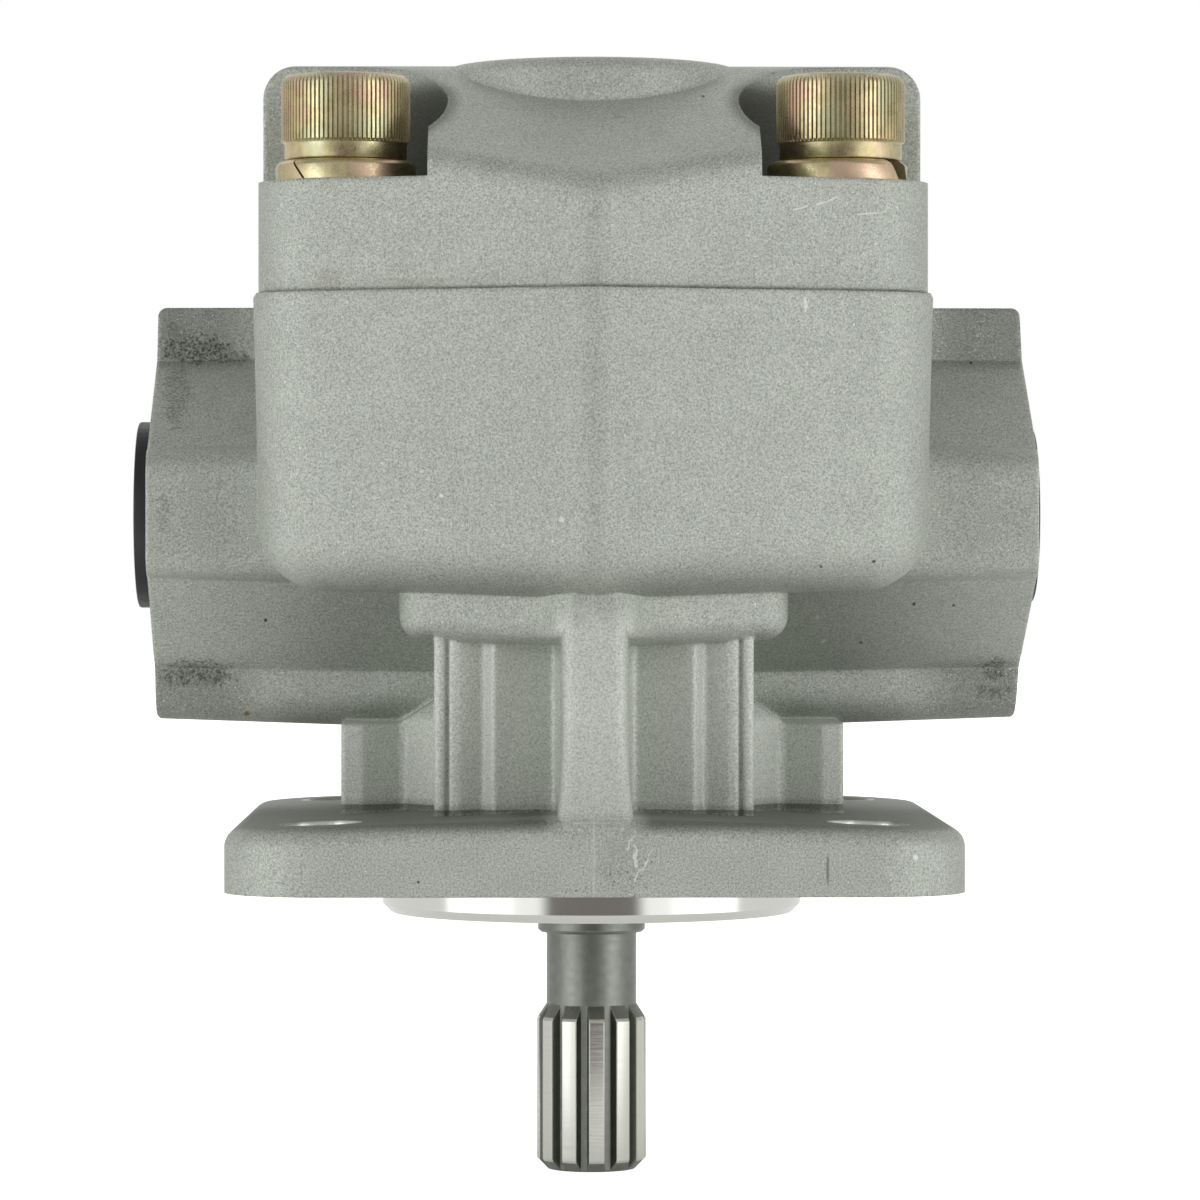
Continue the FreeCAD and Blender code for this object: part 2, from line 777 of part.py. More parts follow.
def body_cuts():
    """Everything that is bored, tapped or milled in the body casting."""
    over = 1.0
    cuts = [
        twin("chamber", chamber_radius, chamber_depth + over, m.chamber_floor),
        cylinder("shaft_bore", m.collar_diameter / 2 + m.shaft_bore_gap,
                 m.chamber_floor - m.seal_floor + over * 2, z=m.seal_floor - over),
        cylinder("seal_bore", m.seal_bore / 2, m.pilot_height + m.seal_floor + over,
                 z=-m.pilot_height - over),
        cylinder("ring_groove", m.seal_bore / 2 + m.ring_groove_depth, m.ring_thick + m.seal_slack,
                 z=ring_bottom),
        cylinder("suction_passage", m.suction_port / 2, pad_face + over - chamber_radius / 2,
                 x=-pad_face - over, y=port_depth, z=port_height, turn=TOWARD_PLUS_X),
        cylinder("pressure_passage", m.pressure_port / 2, pad_face + over - chamber_radius / 2,
                 x=pad_face + over, y=port_depth, z=port_height, turn=TOWARD_MINUS_X),
        cut("cover_seal_groove",
            racetrack("groove_outside", seal_ring_inside + m.cover_seal_width + m.seal_slack,
                      m.cover_seal_thick + m.seal_slack + over, seal_ring_bottom),
            racetrack("groove_inside", seal_ring_inside - m.seal_slack,
                      m.cover_seal_thick + m.seal_slack + over, seal_ring_bottom)),
    ]
    pitch = m.mount_pitch / 2
    for index, (x, y) in enumerate(((-pitch, -pitch), (pitch, -pitch), (-pitch, pitch), (pitch, pitch))):
        cuts.append(cylinder(f"mount_hole_{index}", m.mount_hole / 2, m.flange_thick + over * 2,
                             x=x, y=y, z=-over))
    for index, (x, y) in enumerate(corners_of(m.bolt_spread)):
        cuts.append(cylinder(f"bolt_thread_{index}", m.bolt_diameter / 2 + m.bolt_thread_gap,
                             m.seam_height - bolt_end + m.bolt_hole_spare + over,
                             x=x, y=y, z=bolt_end - m.bolt_hole_spare))
    for index, across in enumerate((-1, 1)):
        cuts.append(cylinder(f"dowel_seat_{index}", m.dowel_diameter / 2 + m.dowel_gap,
                             m.dowel_length / 2 + m.seal_slack + over,
                             x=m.dowel_spread / 2 * across, y=port_depth,
                             z=m.seam_height - m.dowel_length / 2 - m.seal_slack))
        turn = TOWARD_MINUS_X if across > 0 else TOWARD_PLUS_X
        for along in (-1, 1):
            cuts.append(cylinder(f"port_bolt_{index}_{along + 1}", m.port_bolt_hole / 2,
                                 m.port_bolt_depth + over,
                                 x=(pad_face + over) * across,
                                 y=port_depth + m.port_bolt_pitch / 2 * along,
                                 z=port_height, turn=turn))
    return fuse("body_cuts", cuts)


def build_pump_body():
    """The finished body: its cast forms in one piece, then the machining."""
    sump = cylinder("sump", chamber_radius + m.sump_wall, neck_top - m.sump_bottom,
                    y=gear_spacing, z=m.sump_bottom)
    suction = build_pad("suction", -1, m.suction_low_bar, m.suction_relief_top, m.suction_relief_foot)
    pressure = build_pad("pressure", 1, m.pressure_low_bar, m.pressure_relief_top, m.pressure_relief_foot)
    forms = [build_housing(), build_lip(), build_neck(), build_rib(), build_webs(),
             suction, pressure, build_flange(), sump]
    casting = fuse("body_casting", forms)
    casting.Refine = True
    return cut("pump_body", casting, body_cuts())


# Rear cover

def on_cover_rim(point):
    """True for a point near the cover's outline, above where the shoulders start."""
    side = m.cover_width.number / 2
    ridge = m.cover_ridge.number - m.body_ridge_drop.number * abs(point.x) / side
    middle = port_depth.number
    depth = abs(point.y - middle) - middle
    beside = abs(point.x) > side - m.body_corner.number
    return point.z > m.shoulder_start.number - 0.01 and (beside or depth > ridge - 1)


def build_cover_block():
    """Cast cover without its bosses: ridged block, sloping shoulders and four bolt pockets."""
    body = new_body("cover_block_form")
    top = m.cover_top
    plan = new_sketch(body, "cover_plan", "XY_Plane", m.seam_height)
    draw_outline(plan, ridged(m.cover_width, m.cover_ridge, m.body_ridge_drop, m.body_corner))
    extrude(body, "Pad", "cover_block", plan, top - m.seam_height)

    over = 5.0
    slopes = new_sketch(body, "shoulder_slopes", "YZ_Plane", 0)
    level_run = m.shoulder_end - m.shoulder_round / 4
    front = [
        (-m.cover_ridge, m.shoulder_start),
        (-m.shoulder_knee, m.shoulder_knee_height, m.shoulder_round),
        (-m.shoulder_end, top, m.shoulder_round),
        (-level_run, top),
        (-level_run, top + over),
        (-m.cover_ridge - over, top + over),
        (-m.cover_ridge - over, m.shoulder_start),
    ]
    draw_outline(slopes, front)
    draw_outline(slopes, [(gear_spacing - corner[0],) + corner[1:] for corner in front])
    extrude(body, "Pocket", "shoulders", slopes, m.cover_width + over, midplane=True)
    dress(body, "Fillet", "cover_rim", m.rim_round, on_cover_rim)

    pockets = new_sketch(body, "pocket_plan", "XY_Plane", m.shelf_height)
    rounds = new_sketch(body, "pocket_rounds", "XY_Plane", m.shelf_height)
    outside = m.cover_width / 2 + over
    for across in (-1, 1):
        for y, away in ((-m.bolt_front, -1), (bolt_back, 1)):
            end = y + (m.cover_ridge - m.bolt_front + over) * away
            back = y - m.pocket_radius * away
            draw_outline(pockets, [
                (m.pocket_wall * across, end),
                (m.pocket_wall * across, y),
                (m.bolt_spread / 2 * across, y),
                (m.bolt_spread / 2 * across, back),
                (outside * across, back),
                (outside * across, end),
            ])
            draw_circle(rounds, m.bolt_spread / 2 * across, y, m.pocket_radius)
    extrude(body, "Pocket", "bolt_pockets", pockets, top - m.shelf_height + over, reverse=True)
    extrude(body, "Pocket", "bolt_pocket_rounds", rounds, top - m.shelf_height + over, reverse=True)
    return body


def build_boss(name, y):
    """A round boss over one gear axis, its top edge rounded."""
    body = new_body(f"{name}_form")
    plan = new_sketch(body, f"{name}_plan", "XY_Plane", m.shelf_height)
    draw_circle(plan, 0, y, m.boss_diameter / 2)
    extrude(body, "Pad", name, plan, m.cover_top - m.shelf_height)
    dress(body, "Fillet", f"{name}_edge", m.boss_round,
          lambda point: abs(point.z - m.cover_top.number) < 0.01)
    return body


def build_rear_cover():
    """The cover: block and bosses in one casting, then its bolt and dowel holes."""
    forms = [build_cover_block(), build_boss("drive_boss", 0), build_boss("driven_boss", gear_spacing)]
    casting = fuse("cover_casting", forms)
    casting.Refine = True
    over = 1.0
    cuts = []
    for index, (x, y) in enumerate(corners_of(m.bolt_spread)):
        cuts.append(cylinder(f"cover_hole_{index}", (m.bolt_diameter + m.bolt_clearance) / 2,
                             m.shelf_height - m.seam_height + over * 2,
                             x=x, y=y, z=m.seam_height - over))
    for index, across in enumerate((-1, 1)):
        cuts.append(cylinder(f"cover_dowel_seat_{index}", m.dowel_diameter / 2 + m.dowel_gap,
                             m.dowel_length / 2 + m.seal_slack + over,
                             x=m.dowel_spread / 2 * across, y=port_depth, z=m.seam_height - over))
    return cut("rear_cover", casting, fuse("cover_cuts", cuts))


# Gears and shafts

def involute_angle(base, radius):
    """How far the involute has turned from its start when it reaches a radius."""
    pressure = math.acos(base / radius)
    return math.tan(pressure) - pressure


def polar(radius, angle, z=0.0):
    """A point given by its radius and its angle in radians."""
    return Vector(radius * math.cos(angle), radius * math.sin(angle), z)


def gear_prism(turn):
    """The toothed disc about the origin's Z axis, one tooth centred on the given angle."""
    teeth = int(m.gear_teeth.number)
    module = m.gear_module.number
    pitch_radius = module * teeth / 2
    tip = gear_tip.number
    root = pitch_radius - module - m.root_gap.number
    slope = math.radians(m.pressure_angle.number)
    base = pitch_radius * math.cos(slope)
    half_tooth = math.pi / (2 * teeth) - m.tooth_backlash.number / (4 * pitch_radius)
    start = max(base, root)
    middle = (start + tip) / 2

    def half_angle(radius):
        return half_tooth + math.tan(slope) - slope - involute_angle(base, radius)

    edges = []
    for index in range(teeth):
        centre = turn + 2 * math.pi * index / teeth
        following = centre + 2 * math.pi / teeth
        flanks = []
        for side in (-1, 1):
            flanks.append([polar(radius, centre + side * half_angle(radius))
                           for radius in (start, middle, tip)])
        low, high = flanks
        foot_low = polar(root, centre - half_angle(start))
        foot_high = polar(root, centre + half_angle(start))
        next_foot = polar(root, following - half_angle(start))
        valley = polar(root, (centre + following) / 2)
        edges.append(Part.LineSegment(foot_low, low[0]).toShape())
        edges.append(Part.Arc(low[0], low[1], low[2]).toShape())
        edges.append(Part.Arc(low[2], polar(tip, centre), high[2]).toShape())
        edges.append(Part.Arc(high[2], high[1], high[0]).toShape())
        edges.append(Part.LineSegment(high[0], foot_high).toShape())
        edges.append(Part.Arc(foot_high, valley, next_foot).toShape())
    face = Part.Face(Part.Wire(edges))
    prism = face.extrude(Vector(0, 0, m.gear_width.number))
    prism.translate(Vector(0, 0, gear_bottom.number))
    return prism


def turned(profile):
    """A turned bar from its half profile, a list of (radius, height)."""
    points = [Vector(radius.number, 0, height.number) for radius, height in profile]
    face = Part.Face(Part.makePolygon(points + points[:1]))
    return face.revolve(Vector(0, 0, 0), Vector(0, 0, 1), 360)


def spline_grooves():
    """The gaps between the spline's teeth, running out through the cone above them."""
    count = int(m.spline_teeth.number)
    root = spline_root.number
    crest = m.spline_diameter.number / 2
    half_top = math.radians(m.spline_gap_top.number / 2)
    half_root = math.radians(m.spline_gap_root.number / 2)
    rise = (crest * math.cos(half_top) - root * math.cos(half_root))
    spread = (crest * math.sin(half_top) - root * math.sin(half_root)) / rise
    low = root * math.cos(half_root)
    high = crest + 1.0
    half_low = root * math.sin(half_root)
    half_high = half_low + (high - low) * spread
    foot = -m.spline_end.number - 1.0
    length = m.spline_end.number + 1.0 - m.undercut_end.number
    corners = [Vector(low, -half_low, foot), Vector(high, -half_high, foot),
               Vector(high, half_high, foot), Vector(low, half_low, foot)]
    groove = Part.Face(Part.makePolygon(corners + corners[:1])).extrude(Vector(0, 0, length))
    turn = m.spline_turn.number - 90 + 180 / count
    grooves = []
    for index in range(count):
        copy = groove.copy()
        copy.rotate(Vector(0, 0, 0), Vector(0, 0, 1), turn + 360 * index / count)
        grooves.append(copy)
    return grooves


def keep_shape(name, shape, y=0):
    """A piece whose shape is worked out from the sheet in this script."""
    piece = doc.addObject("Part::Feature", name)
    piece.Shape = shape
    piece.Placement = Placement(Vector(0, as_size(y).number, 0), Rotation())
    return piece


def build_drive_gear_shaft():
    """Gear, journals, seal land and splined end, one steel piece."""
    zero = as_size(0)
    collar = m.collar_diameter / 2
    edge = m.journal_chamfer
    spline = m.spline_diameter / 2
    step = m.chamber_floor + m.side_gap
    end = m.seam_height - m.journal_end_gap
    bar = turned([
        (zero, -m.spline_end),
        (spline - m.spline_chamfer, -m.spline_end),
        (spline, m.spline_chamfer - m.spline_end),
        (spline, -m.spline_start),
        (spline_root, -m.undercut_end),
        (spline_root, -m.collar_end),
        (collar - edge / 2, -m.collar_end),
        (collar, edge / 2 - m.collar_end),
        (collar, step),
        (journal_radius - edge, step),
        (journal_radius, step + edge),
        (journal_radius, end - edge),
        (journal_radius - edge, end),
        (zero, end),
    ])
    bar = bar.cut(spline_grooves())
    whole = bar.fuse(gear_prism(math.pi / 2)).removeSplitter()
    return keep_shape("drive_gear_shaft", whole)


def build_driven_gear_shaft():
    """The driven gear with a plain journal at each end, one steel piece."""
    zero = as_size(0)
    edge = m.journal_chamfer
    start = m.chamber_floor + m.journal_end_gap
    end = m.seam_height - m.journal_end_gap
    bar = turned([
        (zero, start),
        (journal_radius - edge, start),
        (journal_radius, start + edge),
        (journal_radius, end - edge),
        (journal_radius - edge, end),
        (zero, end),
    ])
    half_step = math.pi / m.gear_teeth.number
    whole = bar.fuse(gear_prism(math.pi / 2 + half_step)).removeSplitter()
    return keep_shape("driven_gear_shaft", whole, gear_spacing)


# Bearing blocks, bushes and their seals

def ring(name, outside, inside, height, z, shape=cylinder, **where):
    """A ring between two outlines of the same kind."""
    outer = shape(f"{name}_outside", outside, height, z=z, **where)
    inner = shape(f"{name}_inside", inside, height + 2, z=z - 1, **where)
    return cut(name, outer, inner)


def build_block(name, z, back_z, relief_z):
    """A bearing block: two bores, relief pockets beside the mesh and a seal groove behind."""
    depth = m.lobe_seal_thick + m.seal_slack
    groove = cut(f"{name}_groove",
                 twin(f"{name}_groove_rim", lobe_outside + m.seal_slack, depth, back_z),
                 twin(f"{name}_groove_core", backup_inside - m.seal_slack, depth, back_z))
    cuts = [twin(f"{name}_bores", bush_radius, block_length + 2, z - 1), groove]
    for across in (-1, 1):
        x = m.relief_gap / 2 if across > 0 else -m.relief_gap / 2 - chamber_radius
        cuts.append(box(f"{name}_relief_{across + 1}", chamber_radius, m.relief_width,
                        m.relief_depth + 1, x=x, y=port_depth - m.relief_width / 2, z=relief_z))
    solid = twin(f"{name}_solid", chamber_radius - m.block_gap, block_length, z)
    return cut(name, solid, fuse(f"{name}_cuts", cuts))


def build_bearings():
    """Both blocks with their four bushes, shaped seals and backup rings."""
    nodes = []
    front_z = m.chamber_floor + m.side_gap
    rear_z = gear_top + m.side_gap
    groove_depth = m.lobe_seal_thick + m.seal_slack
    ends = (
        ("front", front_z, front_z, front_z + block_length - m.relief_depth),
        ("rear", rear_z, rear_z + block_length - groove_depth, rear_z - 1),
    )
    for end, z, groove_z, relief_z in ends:
        nodes.append(build_block(f"{end}_bearing_block", z, groove_z, relief_z))
        for axis, y in (("drive", 0), ("driven", gear_spacing)):
            nodes.append(ring(f"{axis}_{end}_bush", bush_radius, journal_radius + m.journal_gap,
                              block_length - m.bush_setback * 2, z + m.bush_setback, y=y))
        seal_z = groove_z + m.seal_slack / 2
        nodes.append(ring(f"{end}_lobe_seal", lobe_outside, lobe_outside - m.lobe_seal_width,
                          m.lobe_seal_thick, seal_z, shape=twin))
        nodes.append(ring(f"{end}_seal_backup", lobe_outside - m.lobe_seal_width - m.seal_slack,
                          backup_inside, m.lobe_seal_thick, seal_z, shape=twin))
    nodes.append(ring("cover_seal_ring", seal_ring_inside + m.cover_seal_width, seal_ring_inside,
                      m.cover_seal_thick, seal_ring_bottom + m.seal_slack / 2, shape=racetrack))
    return nodes


# Shaft seal and its retaining ring

def revolved_ring(name, profile):
    """A ring turned from a closed (radius, height) section in the XZ plane."""
    body = new_body(name)
    section = new_sketch(body, f"{name}_section", "XZ_Plane", 0)
    draw_outline(section, profile)
    revolution = body.newObject("PartDesign::Revolution", f"{name}_turn")
    revolution.Profile = section
    revolution.ReferenceAxis = (section, ["V_Axis"])
    revolution.Angle = 360
    body.Tip = revolution
    return body


def build_shaft_seal():
    """Steel case, rubber lip and garter spring of the radial shaft seal."""
    outside = m.seal_bore / 2
    inside = outside - m.seal_case_wall
    top = m.seal_floor
    bottom = top - m.seal_width
    ledge = top - m.seal_case_wall
    lip_inside = m.collar_diameter / 2 + m.journal_gap
    lip_outside = lip_inside + m.seal_lip_wall
    case = revolved_ring("shaft_seal_case", [
        (outside, bottom),
        (outside, top),
        (lip_outside, top),
        (lip_outside, ledge),
        (inside, ledge),
        (inside, bottom),
    ])
    spring_z = ledge - m.spring_drop
    seat = m.spring_wire / 2 + m.journal_gap
    lip = revolved_ring("shaft_seal_lip", [
        (inside, ledge),
        (lip_inside + m.seal_lip_flare, ledge),
        (lip_inside, spring_z),
        (lip_inside + m.seal_lip_flare, ledge - m.seal_lip_width),
        (lip_outside, ledge - m.seal_lip_width),
        (lip_outside, spring_z - seat),
        (lip_outside - seat, spring_z - seat),
        (lip_outside - seat, spring_z + seat),
        (lip_outside, spring_z + seat),
        (lip_outside, ledge - m.seal_case_wall),
        (inside, ledge - m.seal_case_wall),
    ])
    spring = torus("shaft_seal_spring", lip_outside, m.spring_wire / 2, spring_z)
    return [case, lip, spring]


def torus(name, radius, wire, z):
    """A round ring of round wire."""
    loop = doc.addObject("Part::Torus", name)
    bind(loop, "Radius1", radius)
    bind(loop, "Radius2", wire)
    return place(loop, z=z)


def build_retaining_ring():
    """Internal circlip with an eye at each end of its mouth."""
    outside = m.seal_bore / 2 + m.ring_groove_depth - m.seal_slack
    band = ring("circlip_band", outside, outside - m.ring_width, m.ring_thick,
                ring_bottom + m.seal_slack / 2)
    mouth = box("circlip_mouth", m.ring_mouth, outside + 1, m.ring_thick + 2,
                x=-m.ring_mouth / 2, z=ring_bottom - 1)
    opened = cut("circlip_open", band, mouth)
    eyes = []
    holes = []
    y = outside - m.ring_eye_drop
    for across in (-1, 1):
        x = (m.ring_mouth / 2 + m.ring_eye_offset) * across
        eyes.append(cylinder(f"circlip_eye_{across + 1}", m.ring_eye / 2, m.ring_thick,
                             x=x, y=y, z=ring_bottom + m.seal_slack / 2))
        holes.append(cylinder(f"circlip_hole_{across + 1}", m.ring_eye / 4, m.ring_thick + 2,
                              x=x, y=y, z=ring_bottom - 1))
    return cut("seal_retaining_ring", fuse("circlip_body", [opened] + eyes), fuse("circlip_holes", holes))


# Cover bolts, spring washers and dowels

def build_bolt(index, x, y):
    """Socket head cap screw: head with a hexagon socket, shank in the body's thread."""
    shank = cylinder(f"bolt_shank_{index}", m.bolt_diameter / 2, m.bolt_length, x=x, y=y, z=bolt_end)
    head = cylinder(f"bolt_head_{index}", m.head_diameter / 2, m.head_height - m.head_chamfer,
                    x=x, y=y, z=washer_top)
    rim = doc.addObject("Part::Cone", f"bolt_rim_{index}")
    bind(rim, "Radius1", m.head_diameter / 2)
    bind(rim, "Radius2", m.head_diameter / 2 - m.head_chamfer)
    bind(rim, "Height", m.head_chamfer)
    place(rim, x, y, washer_top + m.head_height - m.head_chamfer)
    socket = doc.addObject("Part::Prism", f"bolt_socket_{index}")
    socket.Polygon = 6
    bind(socket, "Circumradius", m.socket_width / math.sqrt(3))
    bind(socket, "Height", m.socket_depth + 1)
    place(socket, x, y, washer_top + m.head_height - m.socket_depth)
    return cut(f"cover_bolt_{index}", fuse(f"bolt_solid_{index}", [shank, head, rim]), socket)


def build_washer(index, x, y, turn):
    """Split spring washer, its two ends cut on a slant."""
    band = ring(f"washer_band_{index}", m.washer_diameter / 2, m.washer_bore / 2, m.washer_thick,
                m.shelf_height, x=x, y=y)
    split = box(f"washer_slot_{index}", m.washer_diameter, m.washer_split, m.washer_thick * 3)
    slant = Rotation(Vector(0, 0, 1), turn) * Rotation(Vector(1, 0, 0), m.washer_slant.number)
    place(split, x, y, m.shelf_height - m.washer_thick, turn=slant)
    return cut(f"spring_washer_{index}", band, split)


# Where each washer's split faces, in degrees about its bolt from the box's +X
WASHER_TURNS = (215, -25, 145, 35)


def build_fasteners():
    """Four bolts, four washers and two dowels."""
    bolts = []
    washers = []
    for index, (x, y) in enumerate(corners_of(m.bolt_spread)):
        bolts.append(build_bolt(index, x, y))
        washers.append(build_washer(index, x, y, WASHER_TURNS[index]))
    dowels = [cylinder(f"dowel_{across + 1}", m.dowel_diameter / 2, m.dowel_length,
                       x=m.dowel_spread / 2 * across, y=port_depth,
                       z=m.seam_height - m.dowel_length / 2) for across in (-1, 1)]
    return [group("cover_bolts", bolts), group("spring_washers", washers),
            group("locating_dowels", dowels)]


# Shipping plugs

def build_plug(name, across, width, rim, port):
    """Push-in plug: a rim that lies on the pad and a hollow stem in the port."""
    turn = TOWARD_MINUS_X if across < 0 else TOWARD_PLUS_X
    stem = port / 2 - m.plug_fit
    face = pad_face * across
    inner = face - m.plug_length * across
    parts = [
        cylinder(f"{name}_rim", width / 2, rim, x=face, y=port_depth, z=port_height, turn=turn),
        cylinder(f"{name}_stem", stem, m.plug_length, x=inner, y=port_depth, z=port_height, turn=turn),
    ]
    hollow = cylinder(f"{name}_hollow", stem - m.plug_wall, m.plug_length + rim,
                      x=inner + m.plug_wall * across, y=port_depth, z=port_height, turn=turn)
    return cut(name, fuse(f"{name}_solid", parts), hollow)


# Assembly and export

nodes = [
    build_pump_body(),
    build_rear_cover(),
    build_drive_gear_shaft(),
    build_driven_gear_shaft(),
    build_plug("suction_port_plug", -1, m.suction_plug, m.suction_plug_rim, m.suction_port),
    build_plug("pressure_port_plug", 1, m.pressure_plug, m.pressure_plug_rim, m.pressure_port),
    build_retaining_ring(),
]
nodes += build_bearings()
nodes += build_shaft_seal()
nodes += build_fasteners()
doc.recompute()

for item in doc.Objects:
    if "Invalid" in item.State or "Error" in item.State:
        raise RuntimeError(f"{item.Label} did not recompute: {item.State}")
for node in nodes:
    if node.Shape.isNull() or not node.Shape.isValid():
        raise RuntimeError(f"{node.Label} has no valid shape")

os.makedirs("parts", exist_ok=True)
for node in nodes:
    node.Shape.exportStep(f"parts/{node.Label}.step")
    print(node.Label, len(node.Shape.Solids), round(node.Shape.Volume, 1))
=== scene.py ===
import math

import bmesh
import bpy
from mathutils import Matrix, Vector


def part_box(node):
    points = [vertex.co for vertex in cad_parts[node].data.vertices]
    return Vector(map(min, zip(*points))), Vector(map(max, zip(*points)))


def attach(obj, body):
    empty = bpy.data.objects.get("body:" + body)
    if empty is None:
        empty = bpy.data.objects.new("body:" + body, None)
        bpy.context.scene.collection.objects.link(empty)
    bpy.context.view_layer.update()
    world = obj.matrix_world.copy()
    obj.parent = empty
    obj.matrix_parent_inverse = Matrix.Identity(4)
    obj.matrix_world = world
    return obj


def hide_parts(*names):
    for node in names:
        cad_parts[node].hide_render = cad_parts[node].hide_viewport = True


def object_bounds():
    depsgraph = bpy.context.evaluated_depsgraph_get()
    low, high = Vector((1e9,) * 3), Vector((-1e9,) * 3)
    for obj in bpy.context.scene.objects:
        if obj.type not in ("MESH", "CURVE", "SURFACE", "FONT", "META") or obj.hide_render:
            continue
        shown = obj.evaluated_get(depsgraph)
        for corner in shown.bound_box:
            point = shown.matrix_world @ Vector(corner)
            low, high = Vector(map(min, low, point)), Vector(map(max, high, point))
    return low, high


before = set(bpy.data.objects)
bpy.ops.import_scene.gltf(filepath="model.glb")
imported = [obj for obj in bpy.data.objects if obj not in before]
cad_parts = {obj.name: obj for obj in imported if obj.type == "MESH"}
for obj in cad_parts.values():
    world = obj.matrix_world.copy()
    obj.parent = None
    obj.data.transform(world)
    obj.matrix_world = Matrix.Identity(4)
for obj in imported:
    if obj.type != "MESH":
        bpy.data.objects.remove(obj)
cad_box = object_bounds()
MM = 0.001


# Picture: a long lens level with the middle of the pump, the pump on a pale studio floor.
# The photograph is 1200 pixels wide. The camera stands 780 mm in front of the drive shaft and
# a little to its left.

PICTURE_WIDTH = 1200
AXIS_COLUMN = 591.4
HORIZON_ROW = 555.0
CAMERA_DISTANCE = 780 * MM
CAMERA_HEIGHT = 46.1 * MM
CAMERA_TURN = math.radians(0.7)
PIXELS_PER_RADIAN = 5421.0
SENSOR_WIDTH = 36.0

camera_data = bpy.data.cameras.new("camera")
camera_data.sensor_width = SENSOR_WIDTH
camera_data.lens = SENSOR_WIDTH * PIXELS_PER_RADIAN / PICTURE_WIDTH
camera_data.shift_x = 0.5 - AXIS_COLUMN / PICTURE_WIDTH
camera_data.shift_y = HORIZON_ROW / PICTURE_WIDTH - 0.5
camera = bpy.data.objects.new("camera", camera_data)
camera.location = (-CAMERA_DISTANCE * math.sin(CAMERA_TURN),
                   -CAMERA_DISTANCE * math.cos(CAMERA_TURN),
                   CAMERA_HEIGHT)
camera.rotation_euler = (math.radians(90), 0, -CAMERA_TURN)
scene = bpy.context.scene
scene.collection.objects.link(camera)
scene.camera = camera
scene.view_settings.view_transform = "Standard"


# Floor: a sheet of white paper, matt, under the pump. It glows for the camera, so that it stays
# white and still takes a shadow. It glows in reflections too, most of all at both sides in front
# of the pump, and stays dark where the camera stands.

def linear(hex_colour):
    """An sRGB hex colour as linear RGBA."""
    parts = [int(hex_colour[index:index + 2], 16) / 255 for index in (1, 3, 5)]
    return tuple(part / 12.92 if part <= 0.04045 else ((part + 0.055) / 1.055) ** 2.4
                 for part in parts) + (1.0,)


def add(tree, kind, inputs=None, **settings):
    """Adds one node. An input takes a plain value or another node's output."""
    made = tree.nodes.new("ShaderNode" + kind)
    for name, value in settings.items():
        setattr(made, name, value)
    for name, value in (inputs or {}).items():
        if isinstance(value, bpy.types.NodeSocket):
            tree.links.new(value, made.inputs[name])
        else:
            made.inputs[name].default_value = value
    return made


def calc(tree, operation, *values):
    """The output of one Math node."""
    return add(tree, "Math", dict(enumerate(values)), operation=operation).outputs[0]


def remap(tree, value, low, high, start=0.0, end=1.0):
    """Turns the range low to high of a value into start to end, with soft ends."""
    return add(tree, "MapRange", {"Value": value, "From Min": low, "From Max": high,
                                  "To Min": start, "To Max": end},
               interpolation_type="SMOOTHSTEP").outputs[0]


def blend(tree, factor, one, other):
    """Mixes two colours."""
    return add(tree, "Mix", {"Factor": factor, 6: one, 7: other}, data_type="RGBA").outputs[2]


FLOOR_COLOUR = "#F4F4F2"
FLOOR_SHADED = "#5A4C48"
FLOOR_ROUGHNESS = 0.9
FLOOR_GLOW = 0.80
FLOOR_MIRRORED = 0.60
FLOOR_MIRRORED_BEHIND = 0.22
FLOOR_SIDES = 0.50
FLOOR_SHADE = 0.9
# Where these begin and end: y in metres, or the distance aside over the distance in front.
PUMP_FRONT = (-0.12, 0.0)
SHADE_FRONT = (-0.17, -0.10)
SHADE_ASIDE = (0.38, 0.58)
SIDES_FRONT = (-0.08, -0.03)
SIDES_ASIDE = (0.80, 1.20)
FLOOR_REACH = 4.0
floor_level = cad_box[0][2]
floor_mesh = bpy.data.meshes.new("floor")
floor_mesh.from_pydata([(x * FLOOR_REACH, y * FLOOR_REACH, floor_level)
                        for x, y in ((-1, -1), (1, -1), (1, 1), (-1, 1))], [], [(0, 1, 2, 3)])
floor = bpy.data.objects.new("floor", floor_mesh)
scene.collection.objects.link(floor)

paper = bpy.data.materials.new("white paper, matt")
paper.use_nodes = True
tree = paper.node_tree
tree.nodes.clear()
rays = add(tree, "LightPath")
mirrored = calc(tree, "MAXIMUM", rays.outputs["Is Glossy Ray"], rays.outputs["Is Transmission Ray"])
place = add(tree, "SeparateXYZ", {0: add(tree, "NewGeometry").outputs["Position"]})
depth = place.outputs["Y"]
aside = calc(tree, "DIVIDE", calc(tree, "ABSOLUTE", place.outputs["X"]),
             calc(tree, "ABSOLUTE", depth))
shaded = calc(tree, "MULTIPLY", remap(tree, aside, *SHADE_ASIDE, 1.0, 0.0),
              remap(tree, depth, *SHADE_FRONT, 1.0, 0.0))
shaded = calc(tree, "MULTIPLY", shaded, mirrored)
sides = calc(tree, "MULTIPLY", remap(tree, aside, *SIDES_ASIDE),
             remap(tree, depth, *SIDES_FRONT, FLOOR_SIDES, 0.0))
reflected = remap(tree, depth, *PUMP_FRONT, FLOOR_MIRRORED, FLOOR_MIRRORED_BEHIND)
reflected = calc(tree, "MULTIPLY", reflected,
                 calc(tree, "SUBTRACT", 1.0, calc(tree, "MULTIPLY", shaded, FLOOR_SHADE)))
reflected = calc(tree, "ADD", reflected, sides)
glow = calc(tree, "MAXIMUM", calc(tree, "MULTIPLY", rays.outputs["Is Camera Ray"], FLOOR_GLOW),
            calc(tree, "MULTIPLY", mirrored, reflected))
